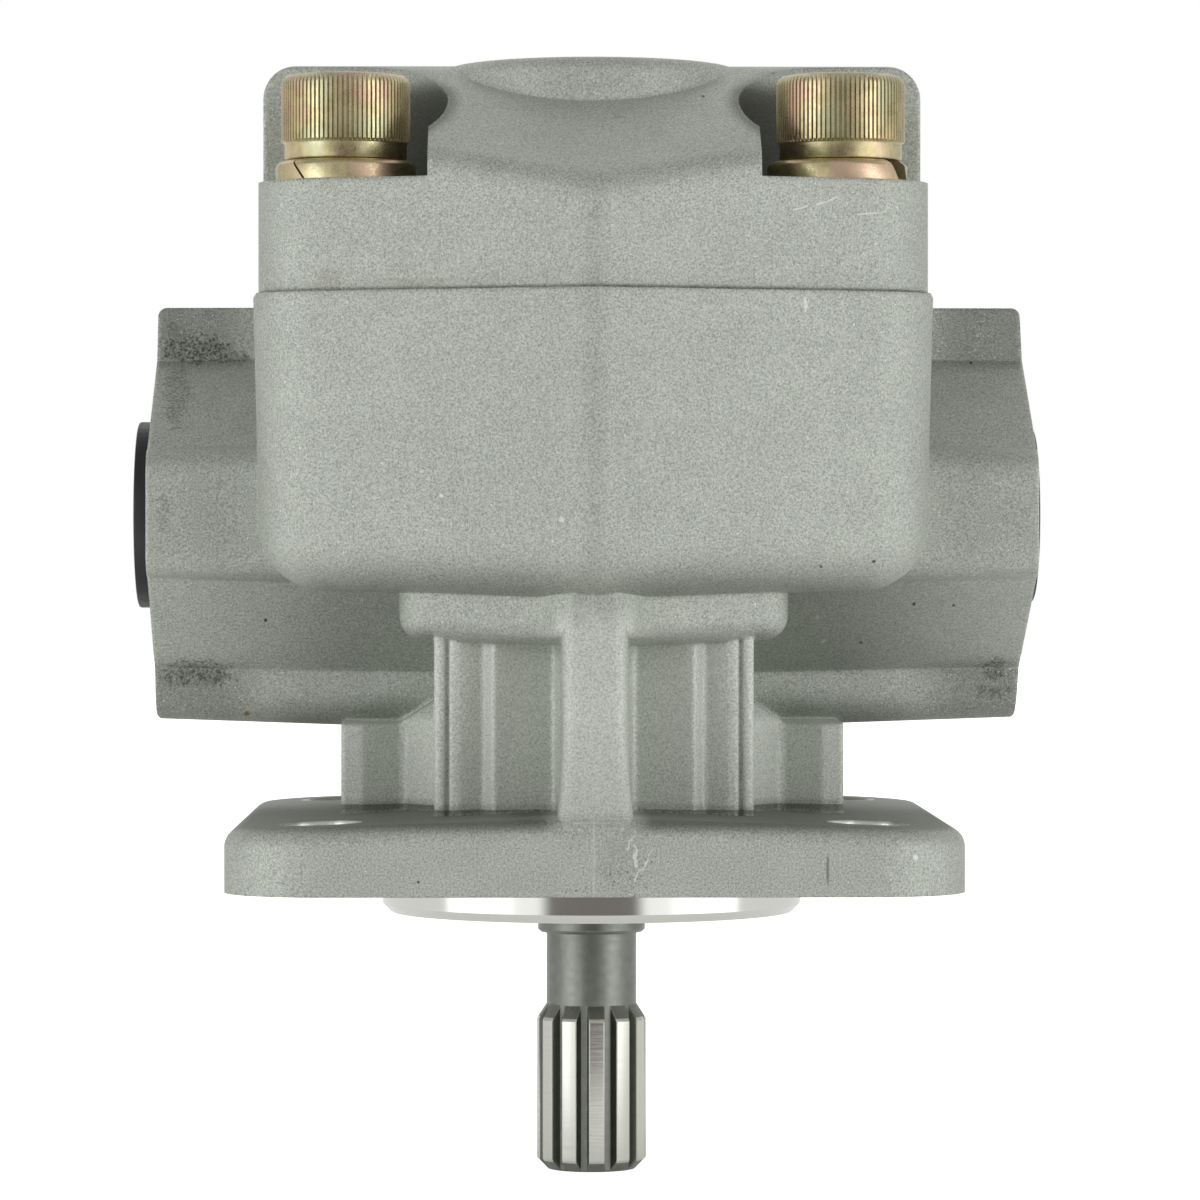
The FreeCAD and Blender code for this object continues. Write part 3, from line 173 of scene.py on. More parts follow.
surface = add(tree, "BsdfPrincipled", {
    "Base Color": blend(tree, shaded, linear(FLOOR_COLOUR), linear(FLOOR_SHADED)),
    "Roughness": FLOOR_ROUGHNESS,
    "Emission Color": (1, 1, 1, 1),
    "Emission Strength": glow,
})
add(tree, "OutputMaterial", {"Surface": surface.outputs[0]})
floor_mesh.materials.append(paper)


# Light: a tent of white cloth round the pump, lit through both of its front corners. The camera
# sees plain white. Brightness goes by the angle away from the camera, in degrees, for the belt at
# the pump's height and for the belt above it.

TENT_LOW = (
    (0, 0.50), (12, 0.55), (24, 0.80), (38, 0.95), (48, 3.20),
    (60, 3.10), (72, 1.20), (92, 0.95), (115, 0.60), (150, 0.80),
)
TENT_HIGH = ((0, 0.60), (50, 0.50), (85, 0.25), (105, 0.80), (150, 1.10))
TENT_ROOF = 0.45
# Elevations, in degrees, where one belt goes over into the next and the upper one into the roof.
BELT_CHANGE = (18.0, 32.0)
ROOF_CHANGE = (48.0, 62.0)


def tent_belt(tree, turn, stops):
    """Brightness round one belt of the tent."""
    level = stops[0][1]
    for (angle, before), (following, after) in zip(stops, stops[1:]):
        step = remap(tree, turn, angle, following, 0.0, after - before)
        level = calc(tree, "ADD", level, step)
    return level


world = bpy.data.worlds.new("studio")
scene.world = world
world.use_nodes = True
tree = world.node_tree
tree.nodes.clear()
rays = add(tree, "LightPath")
direction = add(tree, "TexCoord")
axes = add(tree, "SeparateXYZ", {0: direction.outputs["Generated"]})
sideways = calc(tree, "ABSOLUTE", axes.outputs["X"])
forward = calc(tree, "MULTIPLY", axes.outputs["Y"], -1.0)
turn = calc(tree, "DEGREES", calc(tree, "ARCTAN2", sideways, forward))
rise = calc(tree, "DEGREES", calc(tree, "ARCSINE", axes.outputs["Z"]))
cloth = add(tree, "Mix", {
    "Factor": remap(tree, rise, *BELT_CHANGE),
    2: tent_belt(tree, turn, TENT_LOW),
    3: tent_belt(tree, turn, TENT_HIGH),
}).outputs[0]
cloth = add(tree, "Mix", {
    "Factor": remap(tree, rise, *ROOF_CHANGE),
    2: cloth,
    3: TENT_ROOF,
}).outputs[0]
cloth = add(tree, "Mix", {"Factor": rays.outputs["Is Camera Ray"], 2: cloth, 3: 1.0}).outputs[0]
background = add(tree, "Background", {"Color": (1, 1, 1, 1), "Strength": cloth})
add(tree, "OutputWorld", {"Surface": background.outputs[0]})


# Pump body and rear cover: aluminium alloy, cast in a metal mould and blasted, which leaves a
# pale matt grey with a fine grain. Faces, holes and the pilot ring are machined bright.

def new_material(name):
    """An empty material with a point in millimetres to draw patterns by."""
    material = bpy.data.materials.new(name)
    material.use_nodes = True
    tree = material.node_tree
    tree.nodes.clear()
    coordinates = add(tree, "TexCoord")
    point = add(tree, "VectorMath", {0: coordinates.outputs["Object"], "Scale": 1 / MM},
                operation="SCALE")
    return material, tree, point.outputs[0]


def principled(tree, inputs):
    """Ends a material with its shader."""
    shader = add(tree, "BsdfPrincipled", inputs)
    add(tree, "OutputMaterial", {"Surface": shader.outputs[0]})


def noise(tree, point, size, detail=2.0, roughness=0.5):
    """Noise whose features are about the given number of millimetres wide."""
    return add(tree, "TexNoise", {"Vector": point, "Scale": 1 / size, "Detail": detail,
                                  "Roughness": roughness}).outputs["Fac"]


def distance(tree, x, z, across, up):
    """Distance in a plane from one point, in the units of x and z."""
    right = calc(tree, "SUBTRACT", x, across)
    above = calc(tree, "SUBTRACT", z, up)
    return calc(tree, "SQRT", calc(tree, "ADD", calc(tree, "MULTIPLY", right, right),
                                   calc(tree, "MULTIPLY", above, above)))


CAST_LIGHT = "#CED2C9"
CAST_DARK = "#989C95"
PAINTED_GLINT = "#ECEEE7"
CAST_STAIN_AND_SHADE = "#4C4D48"
CAST_SCUFF = "#E6E8E2"
# Pale colours painted on the neck and rib as painted light.
LIT_NECK_PALE = "#E8EBE4"
LIT_NECK_GREY = "#BBBFB7"
MACHINED = "#DEDEDA"
SEAM = "#5A5B56"
RUST = "#8A6B45"
GRAIN = 0.26
GRAIN_TONES = (0.36, 0.60)
GRAIN_DEPTH = 0.14 * MM
CAST_EDGE = 1.0 * MM
CAST_ROUGHNESS = 0.62
MACHINED_ROUGHNESS = 0.24
TURNED_ROUGHNESS = 0.12
SEAM_HEIGHT = 82.5
PAD_FACE = 63.0
PORT_Y = 18.0
PORT_Z = 52.0
PORT_RADIUS = 11.05
PORT_BOLT = 25.0
PORT_BOLT_RADIUS = 4.25
SCREW_X = 34.6
SCREW_FRONT = -22.0
SCREW_BACK = 58.0
MOUNT_HOLE = 37.5
MOUNT_HOLE_RADIUS = 5.6
# The holes count as machined outside this distance across, and below this height.
BORED_FROM = 18.0
BORED_BELOW = 18.0
# The ears of the port pads are painted darker, as painted shade: heights above and below the port,
# and distance across.
EAR_ENDS = (20.0, 23.0)
EAR_MIDDLE = (5.0, 11.0)
EAR_ACROSS = (45.0, 55.0)
EAR_FOOT = (14.0, 18.0)
EAR_ENDS_SHADE = 0.36
EAR_MIDDLE_SHADE = 0.08
FLANGE_TOP = (9.5, 11.0)
# The neck painted paler as painted light: height of its foot, its half width, and its height
# between and beyond that.
NECK_FOOT = (10.9, 12.0)
NECK_SIDE = (22.2, 22.6)
NECK_TOP = 35.5
WEB_TOP = 23.0
WEB_ACROSS = (34.0, 37.0)
RIB_FRONT = (-39.5, -38.0)
RIB_FOOT = (9.0, 12.0)
RIB_PALEST = (14.0, 24.0)
RIB_HEAD = (35.0, 41.0)
# Dirt and painted shade in the pockets of the screws, by distance from the screw, and painted shade
# on top of the flange.
POCKET_REACH = (13.0, 17.0)
POCKET_FLOOR = (97.9, 98.3)
POCKET_RIM = (111.0, 114.0)
POCKET_ACROSS = (33.0, 40.0)
LEDGE_HEIGHT = (8.2, 10.0)
LEDGE_TOP = 10.8
LEDGE_ACROSS = (5.0, 8.0)
# Stains and pits of the casting, and one painted shadow at the foot of the left recess: x, z, half
# width, half height and strength.
STAINS_AND_SHADOW = (
    (-56.6, 75.7, 5.2, 1.9, 0.90),
    (-51.4, 74.6, 2.2, 1.0, 0.70),
    (-60.2, 78.6, 1.4, 1.2, 0.45),
    (-59.4, 69.0, 1.9, 4.6, 0.45),
    (-60.4, 52.0, 1.0, 3.2, 0.35),
    (-56.8, 29.0, 4.8, 1.8, 0.75),
    (58.6, 29.5, 1.6, 1.6, 0.70),
    (58.2, 26.2, 2.4, 1.0, 0.55),
    (-7.0, 17.5, 1.6, 5.5, 0.45),
    # This one is a painted contact shadow on the flange top at the foot of the left recess.
    (-7.8, 10.3, 3.2, 0.5, 0.75),
    (3.6, 4.6, 3.4, 3.8, 0.18),
    (21.2, 16.8, 1.2, 1.6, 0.95),
)
SPECKS = (
    (4.6, 1.8, 4.2, 1.5, 0.95),
    (-3.2, 1.0, 2.2, 0.9, 0.9),
    (-2.6, 7.6, 1.4, 1.1, 0.8),
    (7.5, 4.6, 1.6, 1.6, 0.6),
    (-41.0, 96.5, 2.0, 1.6, 0.5),
    (30.5, 86.0, 7.0, 3.0, 0.4),
    (-20.0, 60.0, 22.0, 16.0, 0.18),
    (22.0, 60.0, 18.0, 16.0, 0.15),
)
DOTS = (
    (-23.9, 2.1, 0.20, 0.20, 0.9),
    (-46.5, 36.8, 0.26, 0.26, 0.9),
    (38.6, 45.2, 0.26, 0.22, 0.9),
    (31.2, 44.5, 0.22, 0.22, 0.8),
    (45.9, 39.1, 0.24, 0.24, 0.9),
    (51.6, 38.9, 0.22, 0.22, 0.8),
    (38.8, 33.5, 0.22, 0.22, 0.8),
    (54.9, 73.9, 0.20, 0.26, 0.8),
    (15.4, 110.4, 0.26, 0.20, 0.8),
    (31.2, 3.7, 0.22, 2.2, 0.5),
)
# Bright scuffs from handling, in the same order, and scratches as x and z of both ends.
SCUFFS = (
    (43.2, 5.3, 0.45, 0.35, 0.8),
    (-4.6, 50.9, 0.35, 0.3, 0.7),
    (-21.0, 54.3, 0.3, 0.3, 0.7),
    (32.2, 37.2, 0.3, 0.3, 0.6),
    (33.4, 33.7, 0.3, 0.3, 0.6),
    (22.2, 16.6, 0.4, 1.1, 0.7),
    (20.9, 18.6, 0.9, 0.2, 0.8),
    (28.9, 80.6, 0.25, 1.1, 0.7),
)
SCRATCHES = (
    (5.0, 8.2, 4.1, 6.5, 0.10),
    (5.3, 7.1, 5.3, 4.2, 0.12),
    (7.7, 6.4, 5.0, 2.0, 0.09),
    (30.5, 94.2, 33.5, 95.3, 0.10),
    (27.6, 93.5, 29.0, 94.0, 0.10),
    (36.5, 93.0, 39.0, 93.3, 0.08),
)
RUST_SPOTS = (
    (-49.6, 23.2, 0.45, 0.30, 0.8),
    (3.8, 106.9, 0.7, 0.22, 0.35),
    (-36.5, 84.0, 2.2, 1.4, 0.12),
    (-24.5, 83.4, 5.0, 0.7, 0.12),
)

cast, tree, point = new_material("cast aluminium, blasted")
axes = add(tree, "SeparateXYZ", {0: point})
x, y, z = (axes.outputs[name] for name in "XYZ")
across = calc(tree, "ABSOLUTE", x)
# Blasting grit leaves dents of about 0.2 mm, drawn a little coarser so that they show.
grain = noise(tree, point, GRAIN, 4.0, 0.85)
mottle = noise(tree, point, 7.0, 4.0, 0.6)
colour = blend(tree, remap(tree, grain, *GRAIN_TONES), linear(CAST_DARK), linear(CAST_LIGHT))
tone = remap(tree, mottle, 0.3, 0.7, 0.97, 1.03)
# Painted shade on the ears of the port pads: darker towards their ends and a little in the middle.
ears = calc(tree, "ABSOLUTE", calc(tree, "SUBTRACT", z, PORT_Z))
ears = calc(tree, "MAXIMUM", remap(tree, ears, *EAR_ENDS, 0.0, EAR_ENDS_SHADE),
            remap(tree, ears, *EAR_MIDDLE, EAR_MIDDLE_SHADE, 0.0))
ears = calc(tree, "MULTIPLY", ears, remap(tree, across, *EAR_ACROSS))
ears = calc(tree, "MULTIPLY", ears, remap(tree, z, *EAR_FOOT))
tone = calc(tree, "MULTIPLY", tone, calc(tree, "SUBTRACT", 1.0, ears))
tone = calc(tree, "MULTIPLY", tone, remap(tree, z, *FLANGE_TOP, 0.97, 1.0))
colour = add(tree, "VectorMath", {0: colour, "Scale": tone}, operation="SCALE").outputs[0]
# Painted glints: tiny bright specks where the blasted facets would catch the light.
painted_glints = remap(tree, noise(tree, point, 0.28, 1.0), 0.67, 0.74, 0.0, 0.7)
colour = blend(tree, painted_glints, colour, linear(PAINTED_GLINT))

# Stains, one painted shadow and scuffs lie on the front. Their outlines are ragged.
ragged = remap(tree, noise(tree, point, 0.9, 3.0, 0.7), 0.25, 0.75, -0.55, 0.55)
front = calc(tree, "LESS_THAN", y, PORT_Y)


def marks(tree, places, rough_edge):
    """One mask for a list of marks given by x, z, half width, half height and strength."""
    total = 0.0
    for right, up, half_width, half_height, strength in places:
        scaled_x = calc(tree, "DIVIDE", calc(tree, "SUBTRACT", x, right), half_width)
        scaled_z = calc(tree, "DIVIDE", calc(tree, "SUBTRACT", z, up), half_height)
        reach = calc(tree, "ADD", distance(tree, scaled_x, scaled_z, 0.0, 0.0), rough_edge)
        total = calc(tree, "MAXIMUM", total, remap(tree, reach, 0.75, 1.15, strength, 0.0))
    return calc(tree, "MULTIPLY", total, front)


def scratch_lines(tree, places):
    """One mask for straight scratches given by x and z of both ends and half their width."""
    total = 0.0
    wander = remap(tree, noise(tree, point, 1.2, 2.0), 0.3, 0.7, -0.25, 0.25)
    for start_x, start_z, end_x, end_z, half_width in places:
        length = math.hypot(end_x - start_x, end_z - start_z)
        along_x = (end_x - start_x) / length
        along_z = (end_z - start_z) / length
        right = calc(tree, "ADD", calc(tree, "SUBTRACT", x, start_x), wander)
        up = calc(tree, "SUBTRACT", z, start_z)
        along = calc(tree, "ADD", calc(tree, "MULTIPLY", right, along_x),
                     calc(tree, "MULTIPLY", up, along_z))
        aside = calc(tree, "SUBTRACT", calc(tree, "MULTIPLY", right, along_z),
                     calc(tree, "MULTIPLY", up, along_x))
        beyond = calc(tree, "MAXIMUM", calc(tree, "MULTIPLY", along, -1.0),
                      calc(tree, "SUBTRACT", along, length))
        reach = calc(tree, "MAXIMUM", calc(tree, "ABSOLUTE", aside), beyond)
        scratch = remap(tree, reach, half_width * 0.5, half_width * 1.5, 0.75, 0.0)
        total = calc(tree, "MAXIMUM", total, scratch)
    return calc(tree, "MULTIPLY", total, front)


fleck = remap(tree, noise(tree, point, 0.42, 2.0, 0.7), 0.36, 0.62, 1.0, 0.12)
sparse = remap(tree, noise(tree, point, 0.55, 3.0, 0.7), 0.34, 0.42, 1.0, 0.0)
stains_and_shadow = calc(tree, "MULTIPLY", marks(tree, STAINS_AND_SHADOW, ragged), fleck)
stains_and_shadow = calc(tree, "MAXIMUM", stains_and_shadow, calc(tree, "MULTIPLY", marks(tree, SPECKS, ragged), sparse))
stains_and_shadow = calc(tree, "MAXIMUM", stains_and_shadow, marks(tree, DOTS, 0.0))
colour = blend(tree, stains_and_shadow, colour, linear(CAST_STAIN_AND_SHADE))
colour = blend(tree, marks(tree, SCUFFS, ragged), colour, linear(CAST_SCUFF))
colour = blend(tree, scratch_lines(tree, SCRATCHES), colour, linear(CAST_SCUFF))
colour = blend(tree, marks(tree, RUST_SPOTS, ragged), colour, linear(RUST))

# The joint of the mould shows as a thin raised line down the middle below the housing.
parting = calc(tree, "ABSOLUTE", calc(tree, "ADD", x, 0.3))
parting = remap(tree, parting, 0.08, 0.22, 0.25, 0.0)
parting = calc(tree, "MULTIPLY", parting, calc(tree, "LESS_THAN", z, 41.0))
colour = blend(tree, parting, colour, linear(CAST_SCUFF))
seam = calc(tree, "ABSOLUTE", calc(tree, "SUBTRACT", z, SEAM_HEIGHT))
seam = remap(tree, seam, 0.05, 0.13, 1.0, 0.0)
seam_tone = remap(tree, noise(tree, point, 5.0, 3.0), 0.35, 0.65, 0.25, 0.75)
seam = calc(tree, "MULTIPLY", seam, seam_tone)
colour = blend(tree, seam, colour, linear(SEAM))

# Painted light: the neck and its rib are painted paler than the rest of the casting.
above = calc(tree, "SUBTRACT", z, remap(tree, across, *NECK_SIDE, NECK_TOP, WEB_TOP))
painted_light = calc(tree, "MULTIPLY", remap(tree, z, *NECK_FOOT), remap(tree, above, -1.0, 1.0, 1.0, 0.0))
painted_light = calc(tree, "MULTIPLY", painted_light, remap(tree, across, *WEB_ACROSS, 0.85, 0.0))
on_rib = remap(tree, y, *RIB_FRONT, 1.0, 0.0)
rib_painted_light = calc(tree, "MULTIPLY", remap(tree, z, *RIB_PALEST, 1.0, 0.75),
                 remap(tree, z, *RIB_FOOT))
rib_painted_light = calc(tree, "MULTIPLY", rib_painted_light, remap(tree, z, *RIB_HEAD, 1.0, 0.0))
painted_light = add(tree, "Mix", {"Factor": on_rib, 2: painted_light, 3: rib_painted_light}).outputs[0]
neck = blend(tree, remap(tree, grain, *GRAIN_TONES), linear(LIT_NECK_GREY), linear(LIT_NECK_PALE))
colour = blend(tree, painted_light, colour, neck)

# Dirt and painted shade darken the pockets of the screws, and painted shade darkens the top of the
# flange.
screw = calc(tree, "MINIMUM", distance(tree, across, y, SCREW_X, SCREW_FRONT),
             distance(tree, across, y, SCREW_X, SCREW_BACK))
pocket_dirt_and_shade = calc(tree, "MULTIPLY", remap(tree, screw, *POCKET_REACH, 0.94, 0.0),
              remap(tree, z, *POCKET_FLOOR))
pocket_dirt_and_shade = calc(tree, "MULTIPLY", pocket_dirt_and_shade, remap(tree, across, *POCKET_ACROSS, 1.0, 0.05))
pocket_dirt_and_shade = calc(tree, "MULTIPLY", pocket_dirt_and_shade, remap(tree, z, *POCKET_RIM, 1.0, 0.2))
ledge_shade = calc(tree, "MULTIPLY", remap(tree, z, *LEDGE_HEIGHT, 0.0, 0.62),
             calc(tree, "LESS_THAN", z, LEDGE_TOP))
ledge_shade = calc(tree, "MULTIPLY", ledge_shade, remap(tree, across, *LEDGE_ACROSS))
colour = blend(tree, calc(tree, "MAXIMUM", pocket_dirt_and_shade, ledge_shade), colour, linear(CAST_STAIN_AND_SHADE))

# Edges are lighter: partly wear, partly a painted highlight where the rounding would catch the
# light.
rounded = add(tree, "Bevel", {"Radius": CAST_EDGE}, samples=6).outputs[0]
sharp = add(tree, "NewGeometry").outputs["Normal"]
edge = add(tree, "VectorMath", {0: rounded, 1: sharp}, operation="DOT_PRODUCT").outputs["Value"]
edge = calc(tree, "MULTIPLY", remap(tree, edge, 0.80, 0.97, 0.5, 0.0), remap(tree, grain, 0.4, 0.6))
colour = blend(tree, edge, colour, linear(CAST_SCUFF))

# Machined where a face, a pilot or a hole is cut.
pilot = calc(tree, "LESS_THAN", z, 0.02)
pads = calc(tree, "GREATER_THAN", across, PAD_FACE - 0.05)
port = calc(tree, "LESS_THAN", distance(tree, y, z, PORT_Y, PORT_Z), PORT_RADIUS)
beside = calc(tree, "ABSOLUTE", calc(tree, "SUBTRACT", y, PORT_Y))
port_bolt = calc(tree, "LESS_THAN", distance(tree, beside, z, PORT_BOLT, PORT_Z), PORT_BOLT_RADIUS)
outside = calc(tree, "GREATER_THAN", across, BORED_FROM)
bored = calc(tree, "MULTIPLY", calc(tree, "MAXIMUM", port, port_bolt), outside)
along = calc(tree, "ABSOLUTE", y)
hole = distance(tree, across, along, MOUNT_HOLE, MOUNT_HOLE)
hole = calc(tree, "LESS_THAN", hole, MOUNT_HOLE_RADIUS)
hole = calc(tree, "MULTIPLY", hole, calc(tree, "LESS_THAN", z, BORED_BELOW))
cut = calc(tree, "MAXIMUM", calc(tree, "MAXIMUM", pilot, pads), calc(tree, "MAXIMUM", bored, hole))
radius = distance(tree, x, y, 0.0, 0.0)
turned = add(tree, "CombineXYZ", {"X": calc(tree, "MULTIPLY", radius, 6.0),
                                  "Y": calc(tree, "MULTIPLY", z, 6.0), "Z": 0.0}).outputs[0]
lines = noise(tree, turned, 1.0, 2.0)
bright = blend(tree, remap(tree, lines, 0.3, 0.7, 0.0, 0.35), linear(MACHINED), linear(CAST_LIGHT))
colour = blend(tree, cut, colour, bright)

# The grain stands out in the light. Machined faces keep fine lines, and the pilot is smooth.
turned_lines = calc(tree, "MULTIPLY", lines, 0.15)
height = add(tree, "Mix", {"Factor": cut, 2: grain, 3: turned_lines}).outputs[0]
bump = add(tree, "Bump", {"Height": height, "Strength": 0.55, "Distance": GRAIN_DEPTH,
                          "Normal": rounded})
relief = add(tree, "Mix", {"Factor": pilot, 4: bump.outputs[0], 5: sharp},
             data_type="VECTOR").outputs[1]
gloss = remap(tree, cut, 0.0, 1.0, CAST_ROUGHNESS, MACHINED_ROUGHNESS)
gloss = remap(tree, pilot, 0.0, 1.0, gloss, TURNED_ROUGHNESS)
principled(tree, {
    "Base Color": colour,
    "Metallic": 0.95,
    "Roughness": gloss,
    "Normal": relief,
})

for node_name in ("pump_body", "rear_cover"):
    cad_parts[node_name].material_slots[0].material = cast


# Blend between rib and lip: where the rib meets the lip under the gear chamber, it spreads and
# fades into it. Aluminium alloy, cast in one with the body, so it takes the body's material.

def skin(rings):
    """A closed surface through rings of equally many points."""
    count = len(rings[0])
    points = [place for ring in rings for place in ring]
    faces = [tuple(range(count)), tuple(range(len(points) - count, len(points)))]
    for index in range(len(rings) - 1):
        for step in range(count):
            following = (step + 1) % count
            low = index * count
            high = low + count
            faces.append((low + step, low + following, high + following, high + step))
    return points, faces


def add_piece(name, shapes, material, body, node):
    """One object from several closed surfaces, riding on a body, in place of a CAD node or none."""
    points = []
    faces = []
    for shape_points, shape_faces in shapes:
        faces += [tuple(corner + len(points) for corner in face) for face in shape_faces]
        points += shape_points
    mesh = bpy.data.meshes.new(name)
    mesh.from_pydata(points, [], faces)
    shell = bmesh.new()
    shell.from_mesh(mesh)
    bmesh.ops.recalc_face_normals(shell, faces=shell.faces)
    shell.to_mesh(mesh)
    shell.free()
    mesh.shade_smooth()
    mesh.set_sharp_from_angle(angle=math.radians(32))
    mesh.materials.append(material)
    piece = bpy.data.objects.new(name, mesh)
    scene.collection.objects.link(piece)
    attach(piece, body)
    if node:
        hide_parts(node)


BLEND_LOW = 34.6
BLEND_HIGH = 42.1
BLEND_REACH = 9.0
BLEND_BACK = 33.0
RIB_HALF = 2.0
RIB_TOP = 39.6
RIB_TOP_HEIGHT = 42.15
RIB_SLOPE = 0.2415
LIP_RIDGE = 38.5
LIP_FALL = 0.33
LEVELS = 36
STEPS = 81

blend_rings = []
for level in range(LEVELS + 1):
    up_mm = BLEND_LOW + (BLEND_HIGH - BLEND_LOW) * level / LEVELS
    rib = RIB_TOP + RIB_SLOPE * (RIB_TOP_HEIGHT - up_mm)
    ring = []
    for step in range(STEPS):
        across_mm = BLEND_REACH * (2 * step / (STEPS - 1) - 1)
        lip = LIP_RIDGE - LIP_FALL * abs(across_mm)
        # Spreads from the rib's middle and sinks into the lip, and into the rib below it.
        share = min(1.0, max(0.0, (abs(across_mm) - RIB_HALF) / (BLEND_REACH - RIB_HALF)))
        spread = share * share * (3 - 2 * share)
        sink = 0.05 + 0.5 * share ** 4 + 0.35 * max(0.0, 36.6 - up_mm) ** 2
        forward = rib + (lip - rib) * spread - sink
        ring.append((across_mm * MM, -max(forward, BLEND_BACK + 0.2) * MM, up_mm * MM))
    ring.append((BLEND_REACH * MM, -BLEND_BACK * MM, up_mm * MM))
    ring.append((-BLEND_REACH * MM, -BLEND_BACK * MM, up_mm * MM))
    blend_rings.append(ring)
add_piece("rib_blend", [skin(blend_rings)], cast, "housing", None)


# Foot of the rib: below its knee the rib sweeps forward and widens, and runs out into the front
# edge of the flange. Aluminium alloy, cast in one with the body, so it takes the body's material.

FOOT_LOW = 8.4
FOOT_LEDGE = 9.4
FOOT_HIGH = 25.0
FOOT_FRONT = 50.55
FOOT_BACK = 43.35
FOOT_HALF = 4.5
FOOT_FLARE = 0.8
FOOT_CORNER = 2.0
FOOT_SWEEP = 1.6

foot_rings = []
for level in range(LEVELS + 1):
    up_mm = FOOT_LOW + (FOOT_HIGH - FOOT_LOW) * level / LEVELS
    fade = 1 - max(0.0, up_mm - FOOT_LEDGE) / (FOOT_HIGH - FOOT_LEDGE)
    forward = FOOT_BACK + (FOOT_FRONT - FOOT_BACK) * fade ** FOOT_SWEEP
    half = FOOT_HALF + FOOT_FLARE * fade ** 3
    ring = []
    for step in range(STEPS):
        across_mm = half * (2 * step / (STEPS - 1) - 1)
        past = max(0.0, abs(across_mm) - half + FOOT_CORNER) / FOOT_CORNER
        drop = FOOT_CORNER * (1 - math.sqrt(max(0.0, 1 - past * past)))
        ring.append((across_mm * MM, -(forward - drop) * MM, up_mm * MM))
    ring.append((half * MM, -BLEND_BACK * MM, up_mm * MM))
    ring.append((-half * MM, -BLEND_BACK * MM, up_mm * MM))
    foot_rings.append(ring)
add_piece("rib_foot", [skin(foot_rings)], cast, "housing", None)


# Cover bolts: four M12 socket head cap screws, cold headed in steel, with a knurled head over a
# plain collar and a hexagon socket, screwed through the cover into the body. Zinc plating and
# yellow passivation give a satin gold that drifts to olive, pink and green.

RIBS = 84
RIB_POINTS = (-0.28, 0.28, 0.42, 0.58)
CREST = (True, True, False, False)
HEAD_RADIUS = 9.0 * MM
HEAD_HEIGHT = 12.0 * MM
SHANK_RADIUS = 6.0 * MM
SOCKET_FLAT = 5.0 * MM
SOCKET_DEPTH = 6.0 * MM
ZINC_GOLD = "#D2C298"
ZINC_OLIVE = "#AFA67C"
ZINC_PINK = "#D9B6A0"
ZINC_GREEN = "#AEB493"
ZINC_DUST = "#D8D6CC"
ZINC_GLOSS = (0.26, 0.42)
DUST_HEIGHT = (110.0, 113.5)
DUST_SHARE = (0.08, 0.6)
DUST_DULLER = 0.3


def hexagon(angle):
    """Radius of the hexagon socket at an angle."""
    sixth = math.pi / 3
    return SOCKET_FLAT / math.cos((angle + sixth / 2) % sixth - sixth / 2)


# Rings of the bolt from the bottom of its socket outwards and down to the end of its shank:
# height above the seat, radius on a rib, and radius between ribs. None is the hexagon.
BOLT_RINGS = (
    (HEAD_HEIGHT - SOCKET_DEPTH - 1.2 * MM, 0.2 * MM, 0.2 * MM),
    (HEAD_HEIGHT - SOCKET_DEPTH, None, None),
    (HEAD_HEIGHT - 0.5 * MM, None, None),
    (HEAD_HEIGHT, 5.9 * MM, 5.9 * MM),
    (HEAD_HEIGHT, 7.7 * MM, 7.7 * MM),
    (HEAD_HEIGHT - 0.1 * MM, 8.25 * MM, 8.25 * MM),
    (HEAD_HEIGHT - 0.4 * MM, 8.6 * MM, 8.55 * MM),
    (HEAD_HEIGHT - 0.9 * MM, 8.9 * MM, 8.62 * MM),
    (HEAD_HEIGHT - 1.4 * MM, HEAD_RADIUS, 8.65 * MM),
    (2.8 * MM, HEAD_RADIUS, 8.65 * MM),
    (2.5 * MM, 8.65 * MM, 8.65 * MM),
    (2.35 * MM, 8.55 * MM, 8.55 * MM),
    (0.45 * MM, 8.55 * MM, 8.55 * MM),
    (0.2 * MM, 8.4 * MM, 8.4 * MM),
    (0.0, 8.0 * MM, 8.0 * MM),
    (0.0, SHANK_RADIUS, SHANK_RADIUS),
)

bolts_low, bolts_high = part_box("cover_bolts")
seat = bolts_high[2] - HEAD_HEIGHT
bolt_centres = [(centre_x, centre_y)
                for centre_y in (bolts_low[1] + HEAD_RADIUS, bolts_high[1] - HEAD_RADIUS)
                for centre_x in (bolts_low[0] + HEAD_RADIUS, bolts_high[0] - HEAD_RADIUS)]
shank_end = (bolts_low[2] - seat, SHANK_RADIUS, SHANK_RADIUS)
bolt_shapes = []
for index, (centre_x, centre_y) in enumerate(bolt_centres):
    turn = 0.4 + index * 0.7
    rings = []
    for height, on_rib, between in BOLT_RINGS + (shank_end,):
        ring = []
        for step in range(RIBS * len(RIB_POINTS)):
            rib, part = divmod(step, len(RIB_POINTS))
            angle = (rib + RIB_POINTS[part]) * 2 * math.pi / RIBS + turn
            reach = on_rib if CREST[part] else between
            if reach is None:
                reach = hexagon(angle - turn)
            ring.append((centre_x + reach * math.cos(angle),
                         centre_y + reach * math.sin(angle),
                         seat + height))
        rings.append(ring)
    bolt_shapes.append(skin(rings))

zinc, tree, point = new_material("steel, zinc plated and yellow passivated")
patch = noise(tree, point, 3.0, 3.0, 0.6)
cloud = noise(tree, point, 6.0, 2.0, 0.5)
colour = blend(tree, remap(tree, patch, 0.35, 0.65), linear(ZINC_GOLD), linear(ZINC_OLIVE))
colour = blend(tree, remap(tree, cloud, 0.52, 0.66, 0.0, 0.7), colour, linear(ZINC_PINK))
colour = blend(tree, remap(tree, cloud, 0.36, 0.48, 0.6, 0.0), colour, linear(ZINC_GREEN))
fine = noise(tree, point, 0.25, 2.0, 0.6)
